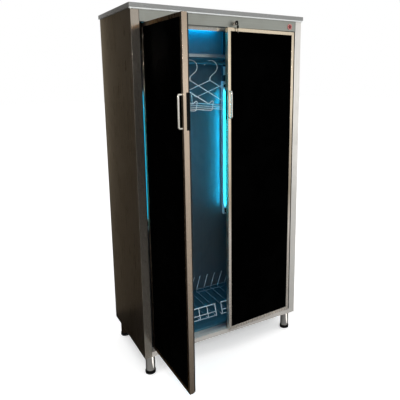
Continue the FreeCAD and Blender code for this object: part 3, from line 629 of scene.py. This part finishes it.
# wire hangers: one bent wire with a twisted neck, sloped shoulders and a trouser bar
hangerSet = {
    "places": {"a": -0.285, "b": -0.187, "c": -0.074, "d": 0.053, "e": 0.202},
    "turn": -38, "tilt": 3.5, "wire": 0.00225, "sides": 12, "railTop": 1.661,
    "hookRadius": 0.038, "hookGap": 0.00074, "hookArc": (165, -45), "hookSteps": 30,
    "neck": 0.019, "neckEnd": 0.004, "crook": 0.012, "bend": 0.009,
    "half": [(0, 0), (0.215, 0.1145), (0.233, 0.096), (0.241, 0.1), (0.235, 0.149), (0, 0.149)],
    "twistTurns": 3, "twistSteps": 36, "twistRadius": 0.0024, "twistWire": 0.001845, "twistSides": 8,
    "twistLow": 0.002, "twistLong": 0.018,
}


def makeHanger(letter, places, turn, tilt, wire, sides, railTop, hookRadius, hookGap, hookArc, hookSteps, neck,
               neckEnd, crook, bend, half, twistTurns, twistSteps, twistRadius, twistWire, twistSides, twistLow,
               twistLong):
    x, turn, tilt = places[letter], math.radians(turn), math.radians(tilt)
    centreZ = railTop + hookGap + wire - hookRadius
    neckDrop = hookRadius * math.sqrt(2)
    apexDrop = neckDrop + neck

    def at(along, drop, beside=0.0):
        # drop is measured from the middle of the hook, which the hanger tilts about
        reach = along * math.cos(tilt) - drop * math.sin(tilt)
        return Vector((x + reach * math.cos(turn) - beside * math.sin(turn),
                       reach * math.sin(turn) + beside * math.cos(turn),
                       centreZ - along * math.sin(tilt) - drop * math.cos(tilt)))

    ring = circle(wire, sides)
    hook = []
    for step in range(hookSteps + 1):
        angle = math.radians(hookArc[0] + (hookArc[1] - hookArc[0]) * step / hookSteps)
        hook.append(at(hookRadius * math.cos(angle), -hookRadius * math.sin(angle)))
    hook += roundBend([hook[-1], at(0, neckDrop), at(0, apexDrop - neckEnd)], crook)[1:]
    left, right = ([at(side * out, apexDrop + drop) for out, drop in half] for side in (-1, 1))
    shoulders = roundBend(left[-2::-1] + right[1:] + [left[-2]], bend)
    parts = [sweep(hook, ring), sweep(shoulders, ring)]
    # two wire ends wound round the neck
    for start in (0.0, math.pi):
        coil = []
        for share in (step / twistSteps for step in range(twistSteps + 1)):
            angle = start + share * twistTurns * 2 * math.pi
            coil.append(at(twistRadius * math.cos(angle), apexDrop + twistLow - share * twistLong,
                           twistRadius * math.sin(angle)))
        parts.append(sweep(coil, circle(twistWire, twistSides)))
    piece = meshPiece(f"wire_hanger_{letter}", join(parts), "wireChrome", f"hanger_{letter}_body", None)
    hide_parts(f"hanger_{letter}")


for letter in hangerSet["places"]:
    makeHanger(letter, **hangerSet)
print("hangers bent")


# shoe racks: each long wire runs from the fence over the grid and up its prong
rackSet = {
    "starts": {"left": -0.427, "right": 0.047},
    "wire": 0.0025, "rim": 0.0032, "tie": 0.0015, "sides": 10, "pitch": 0.054, "count": 9,
    "seat": 0.1503, "sink": 0.001, "front": -0.135, "back": 0.2315, "runnerInset": 0.018,
    "fence": (0.024, 0.068), "fenceMid": 0.030, "prong": (-0.062, 0.130), "tieRise": 0.010, "bend": 0.011,
    "tipLong": 0.0015, "tipShare": 0.55,
}


def makeRack(side, starts, wire, rim, tie, sides, pitch, count, seat, sink, front, back, runnerInset, fence,
             fenceMid, prong, tieRise, bend, tipLong, tipShare):
    left, runnerZ = starts[side], seat + wire
    gridZ = runnerZ + 2 * wire - sink
    right = left + (count - 1) * pitch
    foot, heel = Vector((0, front, gridZ)), Vector((0, back, gridZ))
    fenceRun, prongRun = Vector((0, *fence)), Vector((0, *prong))
    parts = []
    for i in range(count):
        shift = Vector((left + i * pitch, 0, 0))
        route = [shift + p for p in (foot + fenceRun, foot, heel)]
        end = shift + heel + prongRun
        tip = end - (end - route[-1]).normalized() * tipLong
        verts, faces = sweep(roundBend(route + [tip, end], bend), circle(wire, sides))
        verts[-sides:] = [end + (vert - end) * tipShare for vert in verts[-sides:]]
        parts.append((verts, faces))

    def cross(y, z, radius):
        ends = [Vector((x, y, z)) for x in (left - wire - sink, right + wire + sink)]
        parts.append(rod(*ends, radius, sides))

    cross(front + runnerInset, runnerZ, wire)
    cross(back - runnerInset, runnerZ, wire)
    top = foot + fenceRun
    cross(top.y, top.z + rim - sink, rim)
    middle = foot + fenceRun * (fenceMid / fence[1])
    cross(middle.y - 2 * wire + sink, middle.z, wire)
    tied = heel + prongRun * (tieRise / prong[1])
    cross(tied.y + wire + tie - sink, tied.z, tie)
    piece = meshPiece(f"{side}_wire_rack", join(parts), "rackChrome", f"{side}_shoe_rack_body", None)
    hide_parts(f"{side}_shoe_rack")


for side in rackSet["starts"]:
    makeRack(side, **rackSet)
print("shoe racks welded")


# legs: round tubes with a weld bead under a screwed plate
legSet = {
    "x": 0.45, "y": 0.219, "low": 0.0183, "sides": 40, "socketDepth": 0.0452,
    "tube": [(0.0066, 0.0), (0.0236, 0.0), (0.0247, 0.0006), (0.025, 0.0016), (0.025, 0.084), (0.0262, 0.0862),
             (0.0274, 0.0885), (0.0288, 0.0907)],
    "plateLow": 0.109, "plateTop": 0.112, "plateHalf": 0.038, "plateCorner": 0.007, "cornerSteps": 5,
    "screwAt": 0.0292, "screwRadius": 0.0042, "screwHeight": 0.0024,
}


def makeLegs(x, y, low, sides, socketDepth, tube, plateLow, plateTop, plateHalf, plateCorner, cornerSteps, screwAt,
             screwRadius, screwHeight):
    signs = [(-1, -1), (-1, 1), (1, -1), (1, 1)]
    bore = [(0, socketDepth), (tube[0][0], socketDepth)]
    outline = roundedSquare(plateHalf, plateCorner, cornerSteps)
    plateFaces = bridge(2, len(outline)) + endFaces(2, len(outline))
    parts = []
    for legX, legY in ((sx * x, sy * y) for sx, sy in signs):
        parts.append(lathe(bore + tube, (legX, legY, low), (0, 0, 1), sides))
        plate = [Vector((legX + u, legY + v, z)) for z in (plateLow, plateTop) for u, v in outline]
        parts.append((plate, plateFaces))
        for u, v in signs:
            spot = (legX + u * screwAt, legY + v * screwAt, plateLow)
            parts.append(socketScrew(spot, (0, 0, -1), screwRadius, screwHeight))
    piece = meshPiece("welded_legs", join(parts), "legChrome", "cabinet")
    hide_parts("leg_tubes")


# levelling feet: ribbed rubber pads on a threaded stem
footSet = {
    "pad": [(0, 0), (0.0255, 0), (0.0275, 0.001), (0.028, 0.003), (0.028, 0.0052), (0.0268, 0.0062), (0.0268, 0.0074),
            (0.028, 0.0084), (0.028, 0.0106), (0.0268, 0.0116), (0.0268, 0.0128), (0.028, 0.0138), (0.028, 0.0158),
            (0.0268, 0.0176), (0.025, 0.018), (0.0052, 0.0181)],
    "root": 0.0052, "stem": 0.006, "threadFrom": 0.0185, "threadTo": 0.0605, "pitch": 0.0021, "tip": 0.0008,
    "sides": 40,
}


def makeFoot(row, hand, pad, root, stem, threadFrom, threadTo, pitch, tip, sides):
    profile = list(pad)
    z = threadFrom
    while z + pitch < threadTo:
        profile += [(root, z), (stem, z + pitch / 2)]
        z += pitch
    profile += [(root, threadTo), (0, threadTo + tip)]
    x = legSet["x"] * (1 if hand == "right" else -1)
    y = legSet["y"] * (1 if row == "rear" else -1)
    foot = lathe(profile, (x, y, 0), (0, 0, 1), sides)
    piece = meshPiece(f"ribbed_foot_{row}_{hand}", foot, "blackPlastic", f"foot_{row}_{hand}")
    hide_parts(f"foot_{row}_{hand}")


makeLegs(**legSet)
for row in ("front", "rear"):
    for hand in ("left", "right"):
        makeFoot(row, hand, **footSet)
print("legs and feet made")


# door handles: a flat-sided bar bent to a D, in each door's own frame
doorSet = {"pivotX": 0.42, "pivotY": -0.2495, "half": 0.0115, "free": 0.4185, "angles": {"left": -89, "right": 3.6}}
handleSet = {
    "inset": 0.009, "reach": 0.023, "bar": 0.008, "length": 0.145, "height": 1.428, "bend": 0.0075, "bendSteps": 8,
    "corner": 0.0024, "cornerSteps": 4, "sharp": 40,
}


def onDoor(side, dx, dy, z):
    # a place on a door, from its pivot: dx towards the free edge, dy towards the back
    hand = -1 if side == "left" else 1
    angle = math.radians(doorSet["angles"][side])
    u = -hand * dx
    return Vector((hand * doorSet["pivotX"] + u * math.cos(angle) - dy * math.sin(angle),
                   doorSet["pivotY"] + u * math.sin(angle) + dy * math.cos(angle), z))


def makeHandle(side, inset, reach, bar, length, height, bend, bendSteps, corner, cornerSteps, sharp):
    half = bar / 2
    dx, near = doorSet["free"] - inset, -doorSet["half"]
    out = near - reach + half
    high, low = height + length / 2 - half, height - length / 2 + half
    route = [onDoor(side, dx, dy, z) for dy, z in ((near, high), (out, high), (out, low), (near, low))]
    across = onDoor(side, 1, 0, 0) - onDoor(side, 0, 0, 0)
    bent = sweep(roundBend(route, bend, bendSteps), roundedSquare(half, corner, cornerSteps), across)
    piece = meshPiece(f"{side}_bent_handle", bent, "handleSteel", f"{side}_door", sharp)
    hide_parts(f"{side}_handle")


for side in ("left", "right"):
    makeHandle(side, **handleSet)
print("handles bent")


# lamps: glass tubes with metal caps, in moulded holders
lampSet = {
    "ends": {"left": ((-0.28, 0.215, 0.702), (-0.28, 0.215, 1.508)),
             "right": ((0.28, 0.215, 0.702), (0.28, 0.215, 1.508)),
             "top": ((-0.403, -0.1005, 1.834), (0.403, -0.1005, 1.834))},
    "glassEnd": [(0, 0.004), (0.0071, 0.004), (0.0071, 0.016), (0.0077, 0.02)],
    "cap": [(0, 0), (0.0068, 0), (0.008, 0.0012), (0.008, 0.014), (0.0076, 0.0144), (0.0076, 0.0154),
            (0.008, 0.0158), (0.0077, 0.017), (0.0071, 0.017)],
    "sides": 28,
}
holderSet = {"length": 0.026, "half": 0.012, "front": 0.012, "back": 0.0165, "bevel": 0.0028}


def makeLamp(name, ends, glassEnd, cap, sides):
    low, high = (Vector(end) for end in ends[name])
    run, length = (high - low).normalized(), (high - low).length
    glass = glassEnd + [(radius, length - distance) for radius, distance in reversed(glassEnd)]
    tube = meshPiece(f"{name}_glass_tube", lathe(glass, low, run, sides), f"{name}Glow", "cabinet")
    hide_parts(f"{name}_lamp_tube")
    caps = [lathe(cap, low, run, sides), lathe(cap, high, -run, sides)]
    meshPiece(f"{name}_lamp_caps", join(caps), "lockChrome", "cabinet")


def makeHolders(length, half, front, back, bevel):
    parts = []
    for name in ("left", "right"):
        (x, y, low), (x, y, high) = lampSet["ends"][name]
        for z in (low - length, high):
            parts.append(roundedBlock((x - half, y - front, z), (x + half, y + back, z + length), bevel))
    (low, y, z), (high, y, z) = lampSet["ends"]["top"]
    for x in (low - length, high):
        parts.append(roundedBlock((x, y - half, z - front), (x + length, y + half, z + back), bevel))
    piece = meshPiece("moulded_lamp_holders", join(parts), "blackPlastic", "cabinet")
    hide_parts("lamp_holders")


for name in lampSet["ends"]:
    makeLamp(name, **lampSet)
makeHolders(**holderSet)
print("lamps fitted")


# light seals: black strips clipped on the front posts, some with a wing that closes the gap at the hinge; they are
# painted shade, dark strips put in the gap where there is only shade
sealSet = {
    "bend": 0.003, "bendSteps": 3,
    "runs": {"lower_left": (-1, 0.1405, 0.8, "wing"), "middle_left": (-1, 0.8, 1.504, "edge"),
             "upper_left": (-1, 1.504, 1.6865, "wing"), "top_left": (-1, 1.6865, 1.8185, "short"),
             "right": (1, 0.1405, 1.6865, "wing"), "top_right": (1, 1.6865, 1.8185, "short")},
    "thick": {"wing": 0.0009, "edge": 0.0033, "short": 0.0009},
    "wing": [(0.4515, -0.2602), (0.4515, -0.2285), (0.4428, -0.2193), (0.4262, -0.2193), (0.4262, -0.2138)],
    "edge": [(0.4503, -0.2602), (0.4503, -0.2285)],
    "short": [(0.4515, -0.2602), (0.4515, -0.236)],
}


def makeSeal(name, bend, bendSteps, runs, thick, **shapes):
    hand, low, high, shape = runs[name]
    route = roundBend([Vector((hand * x, y, 0)) for x, y in shapes[shape]], bend, bendSteps)
    verts = []
    for i, point in enumerate(route):
        run = route[min(i + 1, len(route) - 1)] - route[max(i - 1, 0)]
        out = Vector((run.y, -run.x, 0)).normalized() * thick[shape] / 2
        for shift, z in ((out, low), (-out, low), (-out, high), (out, high)):
            verts.append(Vector((point.x + shift.x, point.y + shift.y, z)))
    strip = (verts, bridge(len(route), 4) + endFaces(len(route), 4))
    meshPiece(f"{name}_shade_seal", strip, "sealRubber", "cabinet")


for name in sealSet["runs"]:
    makeSeal(name, **sealSet)
print("light seals clipped on")


# lock: a polished ring, a key with a moulded bow, and a split ring with a second key hanging on it
bowSet = {"thick": 0.004, "soft": 0.0008, "holeRadius": 0.0031, "holeSoft": 0.00048, "squareness": 0.62, "points": 36}
lockSet = {
    "x": 0.055, "z": 1.84, "collarY": -0.263, "sides": 40,
    "ring": [(0.0062, 0.0), (0.0064, 0.0008), (0.0078, 0.0013), (0.0098, 0.0011), (0.0108, 0.0)],
    "bowFront": -0.3, "bowBack": -0.274, "bowHalf": 0.011, "holeY": -0.2945,
}
splitSet = {"radius": 0.0072, "wire": 0.0008, "turns": 2, "steps": 64, "start": 80, "sides": 8}
spareSet = {
    "shift": 0.002, "half": 0.008, "reach": 0.0085, "holeDrop": 0.001033, "bladeSink": 0.001, "bladeThick": 0.0016,
    "blade": [(-0.0034, 0.0), (0.0034, 0.0), (0.0034, -0.004), (0.0022, -0.0057), (0.0034, -0.0074),
              (0.0018, -0.0091), (0.0034, -0.0108), (0.0022, -0.0125), (0.0034, -0.0142), (0.0018, -0.0159),
              (0.0034, -0.0176), (0.0022, -0.0193), (0.0026, -0.0225), (0.0, -0.0245), (-0.0034, -0.0225)],
}


def bowPlate(x, middle, reach, hole, thick, soft, holeRadius, holeSoft, squareness, points):
    # a soft-cornered plate with a hole, square to X; middle, reach and hole are (y, z) pairs
    def squared(value):
        return math.copysign(abs(value) ** squareness, value)

    def rim(u, shrink):
        return [Vector((x + u, middle[0] + (reach[0] - shrink) * squared(c),
                        middle[1] + (reach[1] - shrink) * squared(s))) for c, s in circle(1, points)]

    def bore(u):
        return [Vector((x + u, hole[0] + c, hole[1] + s)) for c, s in circle(holeRadius + holeSoft, points)]

    half = thick / 2
    loops = [rim(-half, soft), rim(soft - half, 0), rim(half - soft, 0), rim(half, soft), bore(half), bore(-half)]
    return [point for loop in loops for point in loop], bridge(len(loops), points, closed=True)


def makeLock(x, z, collarY, sides, ring, bowFront, bowBack, bowHalf, holeY):
    meshPiece("lock_ring", ringLathe(ring, (x, collarY, z), (0, -1, 0), sides), "lockChrome", "cabinet")
    middle, reach = (bowFront + bowBack) / 2, (bowBack - bowFront) / 2
    plate = bowPlate(x, (middle, z), (reach, bowHalf), (holeY, z), **bowSet)
    bow = meshPiece("moulded_key_bow", plate, "blackPlastic", "lock_turn")
    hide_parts("key_bow")


def makeSplitRing(x, y, z, radius, wire, turns, steps, start, sides):
    coil = []
    for share in (step / steps for step in range(steps + 1)):
        angle = math.radians(start) + 2 * math.pi * turns * share
        coil.append(Vector((x + radius * math.cos(angle), y + (share - 0.5) * wire * turns,
                            z - radius + radius * math.sin(angle))))
    meshPiece("key_split_ring", sweep(coil, circle(wire, sides)), "lockChrome", "lock_turn", None)


def makeSpareKey(x, y, z, shift, half, reach, holeDrop, bladeSink, bladeThick, blade):
    x, middle = x + shift, z - reach + bowSet["holeRadius"]
    plate = bowPlate(x, (y, middle), (half, reach), (y, z - holeDrop), **bowSet)
    meshPiece("spare_key_bow", plate, "blackPlastic", "lock_turn")
    top = middle - reach + bladeSink
    verts = [Vector((x + side * bladeThick / 2, y + u, top + v)) for side in (-1, 1) for u, v in blade]
    cut = (verts, bridge(2, len(blade)) + endFaces(2, len(blade)))
    meshPiece("spare_key_blade", cut, "lockChrome", "lock_turn", 0)


makeLock(**lockSet)
ringTop = (lockSet["x"], lockSet["holeY"], lockSet["z"])
makeSplitRing(*ringTop, **splitSet)
makeSpareKey(*ringTop[:2], ringTop[2] - 2 * splitSet["radius"], **spareSet)
print("lock and keys made")


# push switch: a raised ring and a domed button
switchSet = {
    "x": 0.412, "z": 1.843, "bezelY": -0.2635, "frontY": -0.2675, "ringSides": 40, "domeSides": 36, "domeSharp": 50,
    "ring": [(0.0099, 0.0), (0.0101, 0.0014), (0.0113, 0.0022), (0.0136, 0.0018), (0.015, 0.0)],
    "dome": [(0, 0.0), (0.0035, 0.00015), (0.0062, 0.0006), (0.0081, 0.0014), (0.0091, 0.0025), (0.0095, 0.0042),
             (0.0095, 0.0161), (0.0091, 0.0165), (0, 0.0165)],
}


def makeSwitch(x, z, bezelY, frontY, ringSides, domeSides, domeSharp, ring, dome):
    bezel = ringLathe(ring, (x, bezelY, z), (0, -1, 0), ringSides)
    meshPiece("switch_ring", bezel, "redPlastic", "cabinet")
    domed = lathe(dome, (x, frontY, z), (0, 1, 0), domeSides)
    button = meshPiece("domed_button", domed, "darkRed", "button", domeSharp)
    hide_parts("switch_button")


makeSwitch(**switchSet)
print("switch made")


# top plate: the hem rolled under its front edge, and the beads in the seams under it
hemSet = {"x": 0.495, "front": -0.2645, "turnIn": 0.006, "z": 1.8768, "radius": 0.0042, "bend": 0.004, "sides": 14}
seamSet = {"x": 0.452, "y": -0.2609, "low": 1.821, "high": 1.872, "radius": 0.0011, "sides": 10}


def makeHem(x, front, turnIn, z, radius, bend, sides):
    spots = [(-x, front + turnIn), (-x, front), (x, front), (x, front + turnIn)]
    route = roundBend([Vector((u, v, z)) for u, v in spots], bend)
    meshPiece("top_hem", sweep(route, circle(radius, sides)), "hemHighlightSteel", "cabinet", None)


def makeSeams(x, y, low, high, radius, sides):
    beads = [rod(Vector((u, y, low)), Vector((u, y, high)), radius, sides) for u in (-x, x)]
    meshPiece("seam_beads", join(beads), "sealRubber", "cabinet", None)


makeHem(**hemSet)
makeSeams(**seamSet)
print("hem and seams made")


# fasteners: button heads on the back panel and the junction lids
backSet = {
    "y": 0.261, "edgeX": 0.468, "low": 0.128, "high": 1.862, "uprights": 7, "across": 3, "radius": 0.0048,
    "height": 0.0026,
}
lidSet = {
    "x": 0.28, "y": 0.2345, "low": 1.5856, "high": 1.6394, "half": 0.0124, "thick": 0.002, "bevel": 0.0009,
    "bevelSteps": 2, "screwInset": 0.0054, "screwRadius": 0.0021, "screwHeight": 0.0012,
}


def makeBackScrews(y, edgeX, low, high, uprights, across, radius, height):
    rise, step = (high - low) / (uprights - 1), 2 * edgeX / (across + 1)
    spots = [(x, low + i * rise) for x in (-edgeX, edgeX) for i in range(uprights)]
    spots += [(-edgeX + (i + 1) * step, z) for i in range(across) for z in (low, high)]
    heads = [socketScrew((x, y, z), (0, 1, 0), radius, height) for x, z in spots]
    meshPiece("back_screws", join(heads), "lockChrome", "cabinet")


def makeLids(x, y, low, high, half, thick, bevel, bevelSteps, screwInset, screwRadius, screwHeight):
    lids = []
    for middle in (-x, x):
        lids.append(roundedBlock((middle - half, y - thick, low), (middle + half, y, high), bevel, bevelSteps))
        for z in (low + screwInset, high - screwInset):
            lids.append(socketScrew((middle, y - thick, z), (0, -1, 0), screwRadius, screwHeight))
    meshPiece("junction_lids", join(lids), "greyPlastic", "cabinet")


makeBackScrews(**backSet)
makeLids(**lidSet)
print("fasteners set")


# floor, backdrop and light
def stageSheet(name, left, right, start, end, material, onlyMirrored=True):
    # a sheet from left to right, between two (y, z) lines
    mesh = bpy.data.meshes.new(name)
    mesh.from_pydata([(left, *start), (right, *start), (right, *end), (left, *end)], [], [(0, 1, 2, 3)])
    mesh.materials.append(material)
    sheet = addObject(name, mesh)
    if onlyMirrored:
        sheet.visible_camera = sheet.visible_diffuse = sheet.visible_transmission = sheet.visible_shadow = False


floorSet = {
    "half": 30.0, "light": (0.95, 0.95, 0.95, 1), "dark": (0.92, 0.92, 0.92, 1), "darkShare": 0.35,
    "uneven": (1.5, 3.0), "lift": 0.4, "rough": 0.9, "middle": (0, -0.3, 0), "reach": 8.0,
    "mirrored": [(0.03, 0.3), (0.996, 0.947), (1.0, 1.0)],  # share of the reach, brightness in metal
}


def makeFloor(half, light, dark, darkShare, uneven, lift, rough, middle, reach, mirrored):
    # a white floor that the lens sees a little brighter, so that only the shadow stays on it
    material, tree, surface = startMaterial("studioFloor")
    place = objectPlace(tree)
    shade = blend(tree, spread(tree, noise(tree, place, *uneven), new=(0.0, darkShare)), light, dark)
    path = addNode(tree, "ShaderNodeLightPath").outputs
    away = vectorMaths(tree, "DISTANCE", place, middle)["Value"]
    ramp = addNode(tree, "ShaderNodeValToRGB", {0: maths(tree, "DIVIDE", away, reach)})
    stops = ramp.color_ramp.elements
    stops.new(mirrored[1][0])
    for stop, (share, bright) in zip(stops, mirrored):
        stop.position, stop.color = share, (bright, bright, bright, 1)
    feed(tree, surface, {
        "Base Color": blend(tree, path["Is Glossy Ray"], shade, ramp.outputs[0]), "Roughness": rough,
        "Specular IOR Level": 0.0, "Emission Color": (1, 1, 1, 1),
        "Emission Strength": spread(tree, path["Is Camera Ray"], new=(0.0, lift))})
    stageSheet("studioFloor", -half, half, (-half, 0), (half, 0), material, onlyMirrored=False)


# dark cards round the left side and behind the camera, seen only in the bright metal
cardSet = {
    "shades": {"wall": ((0.1, 0.082, 0.06, 1), (0.08, 0.066, 0.049, 1)),  # near, and worn patches in it
               "floor": ((0.02, 0.014, 0.009, 1), (0.012, 0.009, 0.006, 1))},
    "far": (0.022, 0.017, 0.013, 1), "step": (-0.86, -0.77), "uneven": 0.9,
    # shade, left, right, and the (y, z) of two edges
    "uprightCard": ("wall", -2.8, -0.57, (0.5, 0.001), (0.5, 2.6)),
    "flatCard": ("floor", -2.8, -0.57, (-0.6, 0.001), (0.5, 0.001)),
    "legCard": ("floor", -0.57, 0.1, (-0.1, 0.001), (0.5, 0.001)),
    "cameraCard": ("wall", -2.1, -0.75, (-2.5, 0.001), (-2.5, 2.2)),
}


def cardShade(name, near, worn, far, step, uneven):
    material, tree, surface = startMaterial(name)
    shade = blend(tree, noise(tree, objectPlace(tree), uneven), near, worn)
    feed(tree, surface, {
        "Emission Color": blend(tree, spread(tree, alongAxis(tree, "X"), step), far, shade),
        "Emission Strength": 1.0, "Base Color": (0, 0, 0, 1), "Specular IOR Level": 0.0})
    return material


def makeCards(shades, far, step, uneven, **cards):
    made = {name: cardShade(f"{name}Card", *pair, far, step, uneven) for name, pair in shades.items()}
    for name, (shade, *spans) in cards.items():
        stageSheet(name, *spans, made[shade])


# small bright patches on the floor, seen only in the chrome of the front legs
glintSet = {
    "strength": 1.5, "bright": (1.0, 0.98, 0.95, 1), "dim": (0.8, 0.78, 0.75, 1), "uneven": 30.0, "z": 0.002,
    "patches": [(-0.385, -0.33, 0.06, 0.16), (0.497, -0.335, 0.05, 0.14)],  # middle, width and depth
}


def makeGlints(strength, bright, dim, uneven, z, patches):
    material, tree, surface = startMaterial("glintPatch")
    shade = blend(tree, noise(tree, objectPlace(tree), uneven), bright, dim)
    feed(tree, surface, {"Emission Color": shade, "Emission Strength": strength})
    for i, (x, y, wide, deep) in enumerate(patches):
        stageSheet(f"glintPatch{i}", x - wide / 2, x + wide / 2, (y - deep / 2, z), (y + deep / 2, z), material)


# a white sky that the lens and the metal see, and that lights a little less
skySet = {"ambient": 0.8, "seen": 1.0, "white": (1, 1, 1, 1)}


def makeSky(ambient, seen, white):
    world = bpy.data.worlds.new("studio")
    scene.world = world
    world.use_nodes = True
    tree = world.node_tree
    tree.nodes.clear()
    path = addNode(tree, "ShaderNodeLightPath").outputs
    direct = maths(tree, "MAXIMUM", path["Is Camera Ray"], path["Is Glossy Ray"])
    direct = maths(tree, "MAXIMUM", direct, path["Is Transmission Ray"])
    soft, full = (addNode(tree, "ShaderNodeBackground", {"Color": white, "Strength": strength}).outputs[0]
                  for strength in (ambient, seen))
    both = addNode(tree, "ShaderNodeMixShader", {0: direct, 1: soft, 2: full}).outputs[0]
    addNode(tree, "ShaderNodeOutputWorld", {"Surface": both})


lights = {
    # place, aim, width, height, radiance, and a colour for the one over the shelf
    "shelfGlow": ((-0.08, 0.242, 1.873), (-0.08, 0.249, 1.7), 0.62, 0.02, 50.0, (0.001, 0.45, 1.0)),
    "frontFlash": ((-0.95, -2.25, 1.8), (0.05, 0.0, 0.9), 0.3, 0.3, 45.0),
    "rightSoftbox": ((2.62, -3.1, 1.1), (0.2, -0.26, 1.0), 0.8, 1.8, 1.25),
    "overheadSoftbox": ((0.2, -0.9, 4.3), (0.0, 0.0, 0.9), 2.6, 2.6, 1.3),
    "leftFill": ((-3.4, -1.4, 2.2), (0.0, 0.0, 1.0), 1.4, 2.0, 0.5),
}


def makeLight(name, place, aim, width, height, radiance, colour=(1, 1, 1)):
    light = bpy.data.lights.new(name, "AREA")
    light.shape, light.size, light.size_y = "RECTANGLE", width, height
    light.energy = radiance * math.pi * width * height
    light.color = colour
    away = Vector(place) - Vector(aim)
    turn = away.to_track_quat("Z", "Y").to_matrix().to_4x4()
    addObject(name, light).matrix_world = Matrix.Translation(place) @ turn


makeFloor(**floorSet)
makeCards(**cardSet)
makeGlints(**glintSet)
makeSky(**skySet)
for name, setting in lights.items():
    makeLight(name, *setting)
print("stage lit")
